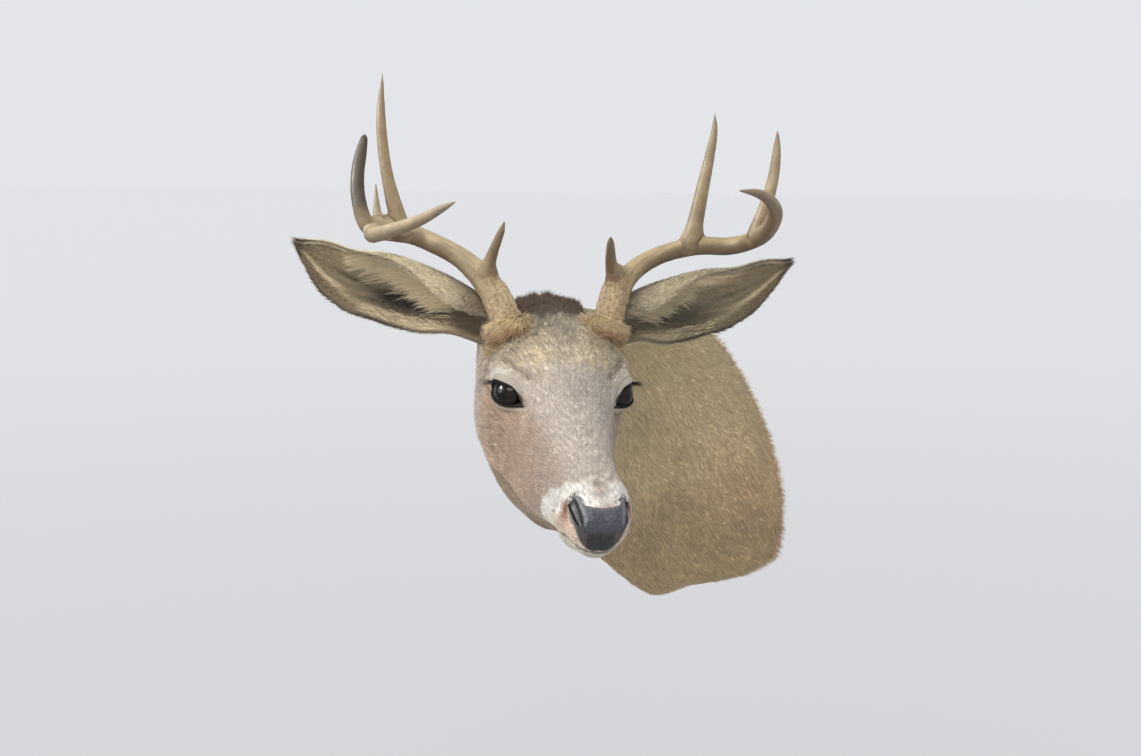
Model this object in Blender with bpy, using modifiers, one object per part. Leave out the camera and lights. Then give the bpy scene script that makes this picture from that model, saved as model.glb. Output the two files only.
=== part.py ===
"""Deer shoulder mount: a white-tailed buck's head, neck and shoulders on a wall board.

Frame: the wall is the plane Y = 0, which is the back of the board. The origin is the middle of the
board's back, +Z is up, the buck looks out along -Y, and its own left side is +X.
The hide is one closed loft from the nose to the wall, sized out to the tips of the coat. It is parted
into head, jaw, neck and shoulders by thin cuts. Lengths in the tables are millimetres.
"""

import math

import bmesh
import bpy
import numpy as np
from mathutils import Matrix, Vector

MM = 0.001
GAP = 0.3 * MM
# Wider gap, for neighbours whose facets don't line up.
CLEARANCE = 0.6 * MM

# Carriage of the head: where the middle between the eyes is, and how the head is turned.
EYE_POINT = Vector((25, -360, 105)) * MM
HEAD_YAW = math.radians(36.2)
HEAD_PITCH = math.radians(22.2)
HEAD_ROLL = math.radians(2.4)
NECK_START = 110.0
NECK_LENGTH = 320.0
NECK_TENSION = 160.0
BACK_CLEARANCE = 1.0

# Hide sections: station, half width, height of the widest point, top, bottom, and the roundness
# (2 is an ellipse, less is keeled, more is boxy) of the upper and the lower half.
# Stations run from the muzzle's front (-172) past the eyes (0) and the poll (110) to the wall (430).
SECTIONS = np.array([
    (-172, 27.5, -19, 6, -53, 2.4, 1.8),
    (-158, 31.0, -20, 12, -60, 2.4, 2.2),
    (-138, 28.0, -20, 17, -65, 2.4, 2.4),
    (-110, 28.5, -24, 23, -79, 2.3, 2.5),
    (-80, 34.0, -30, 30, -94, 2.3, 2.6),
    (-50, 42.0, -32, 37, -112, 2.3, 2.7),
    (-25, 52.0, -22, 42, -121, 2.3, 2.6),
    (0, 62.5, -13, 46, -129, 2.3, 2.5),
    (25, 68.5, -10, 49, -131, 2.3, 2.5),
    (50, 71.0, -14, 49, -124, 2.3, 2.5),
    (80, 68.0, -18, 46, -117, 2.2, 2.4),
    (110, 64.0, -20, 42, -112, 2.2, 2.2),
    (150, 65.0, -26, 44, -128, 2.1, 2.0),
    (190, 68.0, -32, 50, -154, 2.0, 1.8),
    (230, 75.0, -40, 66, -178, 1.95, 1.7),
    (270, 84, -48, 89, -193, 1.9, 1.45),
    (310, 98, -50, 112, -195, 1.85, 1.3),
    (350, 110, -50, 132, -187, 1.75, 1.35),
    (390, 118, -54, 146, -164, 1.62, 1.75),
    (430, 121, -54, 152, -143, 1.55, 3.4),
], dtype=float)
MUZZLE_START = SECTIONS[0, 0]
MUZZLE_DEPTH = 19.0
WALL_STATION = NECK_START + NECK_LENGTH
NOSE_HEIGHT = -20.0

# Forms of the head, alike on both sides: centre, radii and push, in the head's own axes
# (x out to the side, y back, z up).
FORMS = {
    "brow": ((58, -2, 24), (16, 22, 11), (5, -1, 3)),
    "eye_socket": ((60, -5, 5), (14, 16, 12), (-7, 0, 0)),
    "tear_hollow": ((48, -27, 0), (14, 16, 12), (-6, 0, 0)),
    "cheekbone": ((64, 8, -26), (14, 30, 10), (1, 0, -1)),
    "cheek_hollow": ((62, 2, -52), (26, 30, 32), (-13, 0, 0)),
    "chewing_muscle": ((62, 52, -60), (22, 26, 32), (3, 0, 0)),
    "lip_narrowing": ((34, -112, -46), (12, 24, 16), (-3, 0, 0)),
    "upper_lip": ((32, -158, -28), (13, 20, 13), (2, -1, 0)),
    "chin_set_back": ((0, -186, -56), (60, 30, 14), (0, 1, 0)),
    "forehead_dip": ((0, -14, 48), (15, 30, 14), (0, 0, -3)),
    "pedicel": ((48, 58, 52), (17, 17, 20), (5, -1, 9)),
    "ear_butt": ((62, 98, 22), (22, 22, 24), (9, 2, 6)),
    "crown_tuft": ((0, 88, 60), (26, 18, 16), (0, 3, 5)),
}

SEGMENTS = 38
MUZZLE_RINGS = 5
HEAD_STEP = 16.0
NECK_STEP = 29.0


def smooth(table, at):
    """Cubic Hermite curve through the table's rows (first column is the knot)."""
    knots = table[:, 0]
    rows = table[:, 1:]
    slopes = np.gradient(rows, knots, axis=0)
    at = np.clip(np.asarray(at, dtype=float), knots[0], knots[-1])
    cell = np.clip(np.searchsorted(knots, at, side="right") - 1, 0, len(knots) - 2)
    span = (knots[cell + 1] - knots[cell])[..., None]
    t = (at - knots[cell])[..., None] / span
    first = (1 + 2 * t) * (1 - t) ** 2 * rows[cell] + t * (1 - t) ** 2 * span * slopes[cell]
    second = t * t * (3 - 2 * t) * rows[cell + 1] - t * t * (1 - t) * span * slopes[cell + 1]
    return first + second


def turned(yaw, pitch, roll):
    """Rotation matrices (N, 3, 3) for arrays of yaw, then pitch, then roll."""
    cy, sy, cp, sp = np.cos(yaw), np.sin(yaw), np.cos(pitch), np.sin(pitch)
    cr, sr = np.cos(roll), np.sin(roll)
    zero, one = np.zeros_like(cy), np.ones_like(cy)
    about_z = np.stack([cy, -sy, zero, sy, cy, zero, zero, zero, one], -1).reshape(-1, 3, 3)
    about_x = np.stack([one, zero, zero, zero, cp, -sp, zero, sp, cp], -1).reshape(-1, 3, 3)
    about_y = np.stack([cr, zero, sr, zero, one, zero, -sr, zero, cr], -1).reshape(-1, 3, 3)
    return about_z @ about_x @ about_y


HEAD_TURN = turned(np.array([HEAD_YAW]), np.array([HEAD_PITCH]), np.array([HEAD_ROLL]))[0]
HEAD_MATRIX = Matrix.Translation(EYE_POINT) @ Matrix(HEAD_TURN.tolist()).to_4x4()


def carriage(station):
    """Origin (mm) and rotation of each section plane: straight in the head, bending in the neck."""
    eye = np.array(EYE_POINT) / MM
    back = HEAD_TURN[:, 1]
    origin = eye + station[:, None] * back
    t = np.clip((station - NECK_START) / NECK_LENGTH, 0, 1)[:, None]
    start = eye + NECK_START * back
    end = np.array([0, -BACK_CLEARANCE, 0])
    ahead = np.array([0, 1, 0])
    curve = ((1 + 2 * t) * (1 - t) ** 2 * start + t * (1 - t) ** 2 * NECK_TENSION * back
             + t * t * (3 - 2 * t) * end - t * t * (1 - t) * NECK_TENSION * ahead)
    origin = np.where(station[:, None] > NECK_START, curve, origin)
    ease = 1 - (t * t * (3 - 2 * t))[:, 0]
    return origin, turned(HEAD_YAW * ease, HEAD_PITCH * ease, HEAD_ROLL * ease)


def hide_points(station, angle):
    """Points of the hide in metres at arrays of station and angle round the section.

    In front of the muzzle's first section the section shrinks as a quarter of a superellipse, down
    to the nose's front. The forms are then pushed out or in with a bell curve of the distance.
    """
    station = np.asarray(station, dtype=float)
    ahead = np.clip((MUZZLE_START - station) / MUZZLE_DEPTH, 0, 1) * math.pi / 2
    width, widest, top, bottom, round_top, round_bottom = smooth(SECTIONS, station).T
    cos, sin = np.cos(angle), np.sin(angle)
    roundness = np.where(sin > 0, round_top, round_bottom)
    x = width * np.sign(cos) * np.abs(cos) ** (2 / roundness)
    reach = np.where(sin > 0, top - widest, widest - bottom)
    z = widest + reach * np.sign(sin) * np.abs(sin) ** (2 / roundness)
    shrink = np.cos(ahead) ** 0.75
    x = x * shrink
    z = NOSE_HEIGHT + (z - NOSE_HEIGHT) * shrink
    y = np.where(station < MUZZLE_START, MUZZLE_START - MUZZLE_DEPTH * np.sin(ahead), station)
    for centre, radii, push in FORMS.values():
        away = (((np.abs(x) - centre[0]) / radii[0]) ** 2 + ((y - centre[1]) / radii[1]) ** 2
                + ((z - centre[2]) / radii[2]) ** 2)
        weight = np.exp(-away)
        x = x + np.sign(x) * push[0] * weight
        y = y + push[1] * weight
        z = z + push[2] * weight
    origin, turn = carriage(station)
    local = np.stack([x, y - station, z], -1)
    return (origin + np.einsum("nij,nj->ni", turn, local)) * MM


# Parting planes of the head (head axes) and of the body (wall axes).
JAW_HINGE = 62.0
MOUTH_FRONT = (-192.0, -43.0)
MOUTH_SLOPE = math.radians(-9.0)
MUZZLE_BACK = -72.0
HEAD_BACK = 118.0
SHOULDER_FRONT = -130.0
BRISKET_TOP = -100.0
NOSE_PAD_CENTRE = (0, -194, -20)
NOSE_PAD_RADII = (27, 15, 23)

# Eyeball: centre in head axes for the left side, and radius.
EYE_CENTRE = (46.5, 0, 4.5)
EYE_RADIUS = 17.5

# Ears in head axes, as for a left ear: the line along the back of the cup, its half height across,
# its depth, and how far the rims curl round towards the front (degrees up and down).
EAR = np.array([
    (0.00, 52, 98, 24, 22, 17, 130, 150),
    (0.12, 80, 110, 35, 28, 19, 150, 128),
    (0.34, 118, 126, 42, 36, 21, 127, 92),
    (0.55, 152, 137, 44, 38, 18, 108, 82),
    (0.76, 190, 146, 45, 33, 12, 92, 80),
    (0.91, 221, 150, 57, 19, 6, 84, 76),
    (1.00, 239, 150, 70, 2, 2, 60, 60),
], dtype=float)
# Each ear's own carriage: opening direction, how far its tip is from the common one, and how far
# the ear sags half way along.
EAR_CARRIAGE = {
    "left": ((0.05, -0.99, -0.08), (7, 0, -4), -8.0),
    "right": ((0.22, -0.96, -0.12), (-7, 0, 3), 0.0),
}
EAR_ALONG = (0.93, 0.28, 0.2)
EAR_THICKNESS = 4.0
EAR_ROWS = 10
EAR_COLUMNS = 8

# Antlers in head axes: points along the middle of each beam and tine, with the radius there.
# The right beam is x < 0. The row numbers of the forks say where the beam is parted.
BEAMS = {
    "right": np.array([
        (-46, 56, 40, 19), (-52, 65, 54, 15), (-60, 76, 67, 13), (-75, 91, 80, 10.5),
        (-93, 106, 89, 8.8), (-126, 123, 98, 8.2), (-149, 122, 103, 8.0), (-168, 104, 111, 7.6),
        (-172, 76, 120, 7.2), (-162, 38, 142, 6.4), (-144, 0, 169, 5.2), (-131, -30, 193, 3.6),
        (-122, -51, 210, 1.2),
    ], dtype=float),
    "left": np.array([
        (46, 56, 42, 19), (51, 66, 58, 15), (57, 78, 70, 13), (69, 92, 77, 10.5),
        (87, 106, 85, 9.0), (112, 118, 91, 8.6), (144, 124, 96, 8.8), (172, 121, 98, 8.6),
        (188, 104, 112, 8.2), (192, 78, 134, 7.9), (183, 40, 168, 7.0), (165, 10, 194, 5.6),
        (144, -12, 210, 4.0), (121, -31, 220, 1.2),
    ], dtype=float),
}
BEAM_FORKS = {"right": (5.5, 7.5), "left": (5.7, 8.5)}
TINES = {
    "brow_tine_right": np.array([
        (-66, 82, 73, 8.0), (-65, 78, 92, 5.4), (-63, 68, 118, 4.0), (-60, 55, 146, 0.9),
    ]),
    "second_tine_right": np.array([
        (-140, 124, 99, 10.0), (-147, 129, 119, 7.0), (-155, 142, 146, 5.9), (-160, 158, 173, 5.2),
        (-162, 173, 199, 4.2), (-161, 190, 230, 0.9),
    ]),
    "third_tine_right": np.array([
        (-170, 98, 111, 7.2), (-179, 104, 122, 6.3), (-184, 116, 141, 6.6), (-184, 129, 157, 6.2),
        (-181, 141, 171, 4.6), (-178, 149, 183, 2.2),
    ]),
    "fourth_tine_right": np.array([(-163, 112, 108, 6.0), (-165, 125, 118, 3.8), (-166, 142, 142, 0.9)]),
    "brow_tine_left": np.array([
        (58, 82, 73, 8.0), (49, 77, 92, 5.4), (43, 67, 113, 4.0), (38, 54, 135, 0.9),
    ]),
    "second_tine_left": np.array([
        (132, 122, 94, 11.0), (138, 129, 113, 8.2), (143, 139, 143, 6.6), (149, 152, 172, 5.2),
        (154, 165, 197, 3.4), (154, 172, 212, 0.9),
    ]),
    "third_tine_left": np.array([
        (188, 98, 118, 8.0), (196, 104, 148, 6.4), (204, 119, 172, 5.4), (209, 137, 192, 4.0),
        (211, 150, 207, 0.9),
    ]),
}
ROD_STEP = 18.0

# Wall board and hanger.
BOARD_THICKNESS = 18.0
BOARD_INSET = 8.0
BOARD_STATIONS = (394.0, 399.0, 404.0, 409.0, 414.0, 419.0, 424.0, 429.0)
BOARD_POINTS = 48
HANGER_SIZE = (60.0, 2.0, 18.0)
HANGER_HEIGHT = 70.0

COLLECTION = bpy.data.collections.new("deer_shoulder_mount")


def material(name, colour, roughness, metallic=0.0):
    """Principled material with one colour, roughness and metallic value."""
    finish = bpy.data.materials.new(name)
    finish.use_nodes = True
    shader = finish.node_tree.nodes["Principled BSDF"]
    shader.inputs["Base Color"].default_value = (*colour, 1.0)
    shader.inputs["Roughness"].default_value = roughness
    shader.inputs["Metallic"].default_value = metallic
    return finish


def add_object(name, mesh, finish=None):
    """Object for a mesh, in the mount's collection."""
    piece = bpy.data.objects.new(name, mesh)
    COLLECTION.objects.link(piece)
    if finish is not None:
        mesh.materials.clear()
        mesh.materials.append(finish)
    return piece


def evaluated_mesh(piece):
    """Mesh of an object with its modifiers or curve settings worked in, in world space."""
    bpy.context.view_layer.update()
    mesh = bpy.data.meshes.new_from_object(piece.evaluated_get(bpy.context.evaluated_depsgraph_get()))
    mesh.transform(piece.matrix_world)
    return mesh


def settle(piece):
    """Replace an object's mesh by its evaluated one, and drop its modifiers."""
    mesh = evaluated_mesh(piece)
    piece.modifiers.clear()
    piece.data = mesh
    piece.matrix_world = Matrix.Identity(4)
    return piece


def discard(piece):
    """Remove a helper object."""
    bpy.data.objects.remove(piece, do_unlink=True)


def face_outwards(mesh):
    """Weld coincident points, split faces to triangles, and point them out of the closed body."""
    bm = bmesh.new()
    bm.from_mesh(mesh)
    bmesh.ops.remove_doubles(bm, verts=bm.verts, dist=0.00001)
    bmesh.ops.triangulate(bm, faces=bm.faces)
    bmesh.ops.recalc_face_normals(bm, faces=bm.faces)
    if bm.calc_volume(signed=True) < 0:
        bmesh.ops.reverse_faces(bm, faces=bm.faces)
    bm.to_mesh(mesh)
    bm.free()
    return mesh


def boolean(piece, cutter, operation, solver="EXACT"):
    """Work a Boolean with a cutter into an object's mesh."""
    step = piece.modifiers.new("boolean", "BOOLEAN")
    step.solver = solver
    step.operation = operation
    step.object = cutter
    face_outwards(settle(piece).data)


def box(name, low, high, matrix=Matrix.Identity(4)):
    """Box between two corners (mm) in the axes of a matrix."""
    bm = bmesh.new()
    bmesh.ops.create_cube(bm, size=1.0)
    low, high = Vector(low) * MM, Vector(high) * MM
    size = high - low
    place = Matrix.Translation((low + high) / 2) @ Matrix.Diagonal((*size, 1.0))
    bmesh.ops.transform(bm, matrix=matrix @ place, verts=bm.verts)
    mesh = bpy.data.meshes.new(name)
    bm.to_mesh(mesh)
    bm.free()
    return add_object(name, mesh)


def ellipsoid(name, centre, radii, matrix, segments=16, rings=10, grow=0.0):
    """Ellipsoid with the given centre and radii (mm) in the axes of a matrix."""
    bm = bmesh.new()
    bmesh.ops.create_uvsphere(bm, u_segments=segments, v_segments=rings, radius=1.0)
    size = [radius * MM + grow for radius in radii]
    place = Matrix.Translation(Vector(centre) * MM) @ Matrix.Diagonal((*size, 1.0))
    bmesh.ops.transform(bm, matrix=matrix @ place, verts=bm.verts)
    mesh = bpy.data.meshes.new(name)
    bm.to_mesh(mesh)
    bm.free()
    return add_object(name, mesh)


def part_with_box(whole, name, low, high, matrix=Matrix.Identity(4)):
    """Part a body with a box: returns what is inside it, and leaves the rest a thin gap away."""
    inside = add_object(name, whole.data.copy())
    cutter = box("cutter", low, high, matrix)
    boolean(inside, cutter, "INTERSECT")
    discard(cutter)
    gap = GAP / MM
    cutter = box("cutter", [a - gap for a in low], [a + gap for a in high], matrix)
    boolean(whole, cutter, "DIFFERENCE")
    discard(cutter)
    return inside


def closed_loft(name, rings, pole, cap):
    """Closed body from rings of points: a pole in front of the first, a flat cap on the last."""
    count = len(rings[0])
    bm = bmesh.new()
    tip = bm.verts.new(pole)
    rows = [[bm.verts.new(point) for point in ring] for ring in rings]
    centre = bm.verts.new(cap)
    for i in range(count):
        j = (i + 1) % count
        bm.faces.new((tip, rows[0][i], rows[0][j]))
        for near, far in zip(rows, rows[1:]):
            bm.faces.new((near[i], far[i], far[j], near[j]))
        bm.faces.new((centre, rows[-1][j], rows[-1][i]))
    bmesh.ops.recalc_face_normals(bm, faces=bm.faces)
    mesh = bpy.data.meshes.new(name)
    bm.to_mesh(mesh)
    bm.free()
    return add_object(name, mesh)


def hide_body(name):
    """The whole hide as one closed loft."""
    # Stations inside the rounded front are spread evenly in angle, as hide_points reads them.
    front = MUZZLE_START - MUZZLE_DEPTH * np.linspace(0, 1, MUZZLE_RINGS + 1)[1:-1]
    head = np.linspace(MUZZLE_START, NECK_START, round((NECK_START - MUZZLE_START) / HEAD_STEP) + 1)
    neck = np.linspace(NECK_START, WALL_STATION, round(NECK_LENGTH / NECK_STEP) + 1)[1:]
    stations = np.concatenate([front[::-1], head, neck])
    angles = np.linspace(0, 2 * math.pi, SEGMENTS, endpoint=False)
    points = hide_points(np.repeat(stations, SEGMENTS), np.tile(angles, len(stations)))
    rings = points.reshape(len(stations), SEGMENTS, 3)
    pole = hide_points(np.array([MUZZLE_START - MUZZLE_DEPTH]), np.array([0.0]))[0]
    return closed_loft(name, rings, pole, rings[-1].mean(axis=0))


def grown(piece, name, distance):
    """Copy of a body with each point moved out along its normal."""
    copy = add_object(name, piece.data.copy())
    bm = bmesh.new()
    bm.from_mesh(copy.data)
    bm.normal_update()
    for vertex in bm.verts:
        vertex.co += vertex.normal * distance
    bm.to_mesh(copy.data)
    bm.free()
    return copy


def trace(rows, first, last):
    """Points (x, y, z and radius, mm) along a smooth curve between two of its knots.

    They are evenly spaced, with one more close to each end, which squares the end face to the curve.
    """
    table = np.column_stack([np.arange(len(rows)), rows])
    fine = smooth(table, np.linspace(first, last, 200))
    run = np.concatenate([[0], np.cumsum(np.linalg.norm(np.diff(fine[:, :3], axis=0), axis=1))])
    trim = CLEARANCE / MM / 2
    start, end = trim, run[-1] - trim
    steps = np.linspace(start, end, max(4, round(run[-1] / ROD_STEP) + 1))
    steps = np.concatenate([steps[:1], [start + 1], steps[1:-1], [end - 1], steps[-1:]])
    return np.column_stack([np.interp(steps, run, fine[:, k]) for k in range(4)])


def rod(name, points, grow=0.0):
    """Tapered rod with flat ends through points of x, y, z and radius (mm) in head axes."""
    curve = bpy.data.curves.new(name, "CURVE")
    curve.dimensions = "3D"
    curve.bevel_depth = 1.0
    curve.bevel_resolution = 2
    curve.use_fill_caps = True
    spline = curve.splines.new("POLY")
    spline.points.add(len(points) - 1)
    for vertex, (x, y, z, radius) in zip(spline.points, points):
        vertex.co = (*(HEAD_MATRIX @ (Vector((x, y, z)) * MM)), 1.0)
        vertex.radius = radius * MM + grow
    guide = bpy.data.objects.new(name, curve)
    COLLECTION.objects.link(guide)
    mesh = face_outwards(evaluated_mesh(guide))
    discard(guide)
    return add_object(name, mesh)


def antler(side, hide_cutter, finish):
    """Beam in three lengths, and its tines cut to the beam. Returns the whole beam's cutter."""
    rows = BEAMS[side]
    knots = (0.0, *BEAM_FORKS[side], len(rows) - 1)
    spans = [trace(rows, first, last) for first, last in zip(knots, knots[1:])]
    for span, points in zip(("base", "middle", "tip"), spans):
        length = rod(f"antler_{side}_beam_{span}", points)
        if span == "base":
            boolean(length, hide_cutter, "DIFFERENCE", "MANIFOLD")
        length.data.materials.append(finish)
    beam_cutter = rod("beam_cutter", np.concatenate(spans), grow=CLEARANCE)
    for name, tine_rows in TINES.items():
        if name.endswith(side):
            tine = rod(f"antler_{name}", trace(tine_rows, 0, len(tine_rows) - 1))
            boolean(tine, beam_cutter, "DIFFERENCE", "MANIFOLD")
            tine.data.materials.append(finish)
    return beam_cutter


def ear(side, neighbours, finish):
    """Cupped ear: an open sheet curled round its back line, with a thickness, cut to its neighbours."""
    sign = 1 if side == "left" else -1
    t, s = np.meshgrid(np.linspace(0, 1, EAR_ROWS + 1), np.linspace(-1, 1, EAR_COLUMNS + 1), indexing="ij")
    x, y, z, height, depth, curl_up, curl_down = smooth(EAR, t.ravel()).T
    turn = np.radians(np.where(s.ravel() > 0, curl_up, curl_down)) * s.ravel()
    opening, tip_shift, sag = EAR_CARRIAGE[side]
    forward = np.array(opening) / np.linalg.norm(opening)
    up = np.cross(forward, EAR_ALONG)
    up /= np.linalg.norm(up)
    out = t.ravel()[:, None]
    spine = np.column_stack([x, y, z]) + out ** 2 * tip_shift + 4 * out * (1 - out) * (0, 0, sag)
    points = (spine + (height * np.sin(turn))[:, None] * up
              + (depth * (1 - np.cos(turn)))[:, None] * forward)
    points[:, 0] *= sign
    bm = bmesh.new()
    grid = [bm.verts.new(HEAD_MATRIX @ (Vector(point) * MM)) for point in points]
    width = EAR_COLUMNS + 1
    for i in range(EAR_ROWS):
        for j in range(EAR_COLUMNS):
            corner = i * width + j
            bm.faces.new([grid[corner], grid[corner + 1], grid[corner + width + 1], grid[corner + width]])
    mesh = bpy.data.meshes.new(f"ear_{side}")
    bm.to_mesh(mesh)
    bm.free()
    piece = add_object(f"ear_{side}", mesh)
    shell = piece.modifiers.new("thickness", "SOLIDIFY")
    shell.thickness = EAR_THICKNESS * MM
    shell.offset = 0.0
    face_outwards(settle(piece).data)
    for neighbour in neighbours:
        boolean(piece, neighbour, "DIFFERENCE", "MANIFOLD")
    piece.data.materials.append(finish)


def board_outline(inset):
    """Outline of the board: what the hide's last sections have in common, drawn in (mm).

    Each section is read as its reach in every direction from one middle, and the shortest reach of
    them all counts.
    """
    angles = np.linspace(0, 2 * math.pi, 360, endpoint=False)
    turns = np.linspace(-math.pi, math.pi, BOARD_POINTS, endpoint=False)
    middle = hide_points(np.full(360, BOARD_STATIONS[0]), angles)[:, [0, 2]].mean(axis=0)
    reach = np.full(BOARD_POINTS, np.inf)
    for station in BOARD_STATIONS:
        arms = hide_points(np.full(360, station), angles)[:, [0, 2]] - middle
        turn = np.arctan2(arms[:, 1], arms[:, 0])
        reach = np.minimum(reach, np.interp(turns, turn, np.hypot(arms[:, 0], arms[:, 1]), period=2 * math.pi))
    edge = middle + reach[:, None] * np.column_stack([np.cos(turns), np.sin(turns)])
    ahead = np.roll(edge, -1, axis=0) - np.roll(edge, 1, axis=0)
    inward = np.column_stack([-ahead[:, 1], ahead[:, 0]])
    inward /= np.linalg.norm(inward, axis=1)[:, None]
    return edge + inward * inset * MM


def plate(name, outline, front, back):
    """Flat plate: an outline in X and Z filled and extruded between two depths (mm)."""
    curve = bpy.data.curves.new(name, "CURVE")
    curve.dimensions = "2D"
    curve.fill_mode = "BOTH"
    curve.extrude = (back - front) / 2 * MM
    spline = curve.splines.new("POLY")
    spline.points.add(len(outline) - 1)
    spline.use_cyclic_u = True
    for vertex, (x, z) in zip(spline.points, outline):
        vertex.co = (x, z, 0.0, 1.0)
    guide = bpy.data.objects.new(name, curve)
    COLLECTION.objects.link(guide)
    guide.location = (0, (front + back) / 2 * MM, 0)
    guide.rotation_euler = (math.pi / 2, 0, 0)
    mesh = face_outwards(evaluated_mesh(guide))
    discard(guide)
    return add_object(name, mesh)


def wall_board(finish, steel):
    """Plywood board with the steel hanger let into its back."""
    board = plate("backboard", board_outline(BOARD_INSET), -BOARD_THICKNESS, 0.0)
    width, depth, height = HANGER_SIZE
    low = (-width / 2, -depth - 0.2, HANGER_HEIGHT - height / 2)
    high = (width / 2, -0.2, HANGER_HEIGHT + height / 2)
    gap = GAP / MM
    pocket = box("pocket", (low[0] - gap, low[1] - gap, low[2] - gap), (high[0] + gap, 5.0, high[2] + gap))
    boolean(board, pocket, "DIFFERENCE")
    discard(pocket)
    board.data.materials.append(finish)
    hanger = box("hanger_plate", low, high)
    hanger.data.materials.append(steel)


def build():
    """Build every part of the mount."""
    for old in list(bpy.data.objects):
        bpy.data.objects.remove(old, do_unlink=True)
    bpy.context.scene.collection.children.link(COLLECTION)
    fur = material("short_deer_fur", (0.36, 0.27, 0.19), 0.85)
    nose_skin = material("nose_skin", (0.05, 0.05, 0.055), 0.5)
    glass = material("glass_eye", (0.02, 0.012, 0.008), 0.06)
    horn = material("antler_bone", (0.42, 0.34, 0.24), 0.55)
    plywood = material("plywood", (0.55, 0.40, 0.24), 0.75)
    steel = material("zinc_plated_steel", (0.6, 0.6, 0.6), 0.4, 1.0)

    body = hide_body("cranium")
    hide_cutter = grown(body, "hide_cutter", CLEARANCE)
    for side in ("left", "right"):
        beam_cutter = antler(side, hide_cutter, horn)
        ear(side, (hide_cutter, beam_cutter), fur)
        discard(beam_cutter)
    discard(hide_cutter)

    pocket = plate("pocket", board_outline(BOARD_INSET - GAP / MM), -BOARD_THICKNESS - GAP / MM, 5.0)
    boolean(body, pocket, "DIFFERENCE")
    discard(pocket)
    far = 600.0
    parts = [body]
    neck = part_with_box(body, "neck", (-far, HEAD_BACK, -far), (far, far, far), HEAD_MATRIX)
    shoulder = part_with_box(neck, "shoulder_left", (-far, SHOULDER_FRONT, -far), (far, far, far))
    brisket = part_with_box(shoulder, "brisket", (-far, -far, -far), (far, far, BRISKET_TOP))
    right = part_with_box(shoulder, "shoulder_right", (-far, -far, -far), (-GAP / MM / 2, far, far))
    parts += [neck, shoulder, brisket, right]
    front = Matrix.Translation(Vector((0, *MOUTH_FRONT)) * MM)
    mouth = HEAD_MATRIX @ front @ Matrix.Rotation(MOUTH_SLOPE, 4, "X")
    jaw_length = (JAW_HINGE - MOUTH_FRONT[0]) / math.cos(MOUTH_SLOPE)
    parts.append(part_with_box(body, "lower_jaw", (-far, -50, -far), (far, jaw_length, 0), mouth))
    muzzle = part_with_box(body, "muzzle", (-far, -far, -far), (far, MUZZLE_BACK, far), HEAD_MATRIX)
    nose = add_object("nose", muzzle.data.copy())
    pad = ellipsoid("pad", NOSE_PAD_CENTRE, NOSE_PAD_RADII, HEAD_MATRIX)
    boolean(nose, pad, "INTERSECT")
    discard(pad)
    pad = ellipsoid("pad", NOSE_PAD_CENTRE, NOSE_PAD_RADII, HEAD_MATRIX, grow=GAP)
    boolean(muzzle, pad, "DIFFERENCE")
    discard(pad)
    parts.append(muzzle)
    for piece in parts:
        piece.data.materials.clear()
        piece.data.materials.append(fur)
    nose.data.materials.clear()
    nose.data.materials.append(nose_skin)
    for side, sign in (("left", 1), ("right", -1)):
        centre = (sign * EYE_CENTRE[0], *EYE_CENTRE[1:])
        socket = ellipsoid("socket", centre, [EYE_RADIUS] * 3, HEAD_MATRIX, grow=GAP)
        boolean(body, socket, "DIFFERENCE")
        discard(socket)
        eye = ellipsoid(f"eye_{side}", centre, [EYE_RADIUS] * 3, HEAD_MATRIX)
        eye.data.materials.append(glass)
    wall_board(plywood, steel)
    for piece in COLLECTION.objects:
        piece.data.shade_smooth()
        piece.data.set_sharp_from_angle(angle=math.radians(40))


build()
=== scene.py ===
"""Looks of a white-tailed buck's shoulder mount, built round its packed solids.

Frame: the wall is the plane Y = 0, +Z is up, the buck looks out along -Y and its own left is +X.
Sizes are millimetres and are turned to metres when a mesh is made. "Head axes" run from the point midway
between the eyes: x out to the side, y back and z up.
"""

from __future__ import annotations

import sys

import logging
import math
from dataclasses import dataclass
from enum import Enum

import bpy
import numpy as np
from bpy.types import Material, Node, NodeSocket, NodeTree, Object
from mathutils import Matrix, Vector


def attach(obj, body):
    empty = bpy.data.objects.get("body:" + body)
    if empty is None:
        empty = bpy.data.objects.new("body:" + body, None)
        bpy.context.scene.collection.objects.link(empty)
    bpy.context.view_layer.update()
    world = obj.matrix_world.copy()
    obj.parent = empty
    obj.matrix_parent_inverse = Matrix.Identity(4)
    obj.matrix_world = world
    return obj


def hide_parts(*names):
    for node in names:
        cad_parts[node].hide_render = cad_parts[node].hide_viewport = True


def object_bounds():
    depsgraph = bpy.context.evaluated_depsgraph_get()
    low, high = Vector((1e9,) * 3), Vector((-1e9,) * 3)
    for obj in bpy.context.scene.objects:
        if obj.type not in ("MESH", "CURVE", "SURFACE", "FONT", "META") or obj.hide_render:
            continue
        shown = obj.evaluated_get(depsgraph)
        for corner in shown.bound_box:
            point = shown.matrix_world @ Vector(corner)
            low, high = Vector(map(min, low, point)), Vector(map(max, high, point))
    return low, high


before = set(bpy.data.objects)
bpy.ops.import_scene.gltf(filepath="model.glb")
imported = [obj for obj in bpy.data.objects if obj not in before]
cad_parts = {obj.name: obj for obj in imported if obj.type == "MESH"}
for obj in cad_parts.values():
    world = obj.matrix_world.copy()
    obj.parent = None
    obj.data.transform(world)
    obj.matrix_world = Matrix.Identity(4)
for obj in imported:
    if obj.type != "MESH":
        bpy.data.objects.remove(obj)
CAD_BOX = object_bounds()

LOG = logging.getLogger("deer_shoulder_mount")
MM = 0.001
BODY = "root"
Array = np.ndarray


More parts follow.
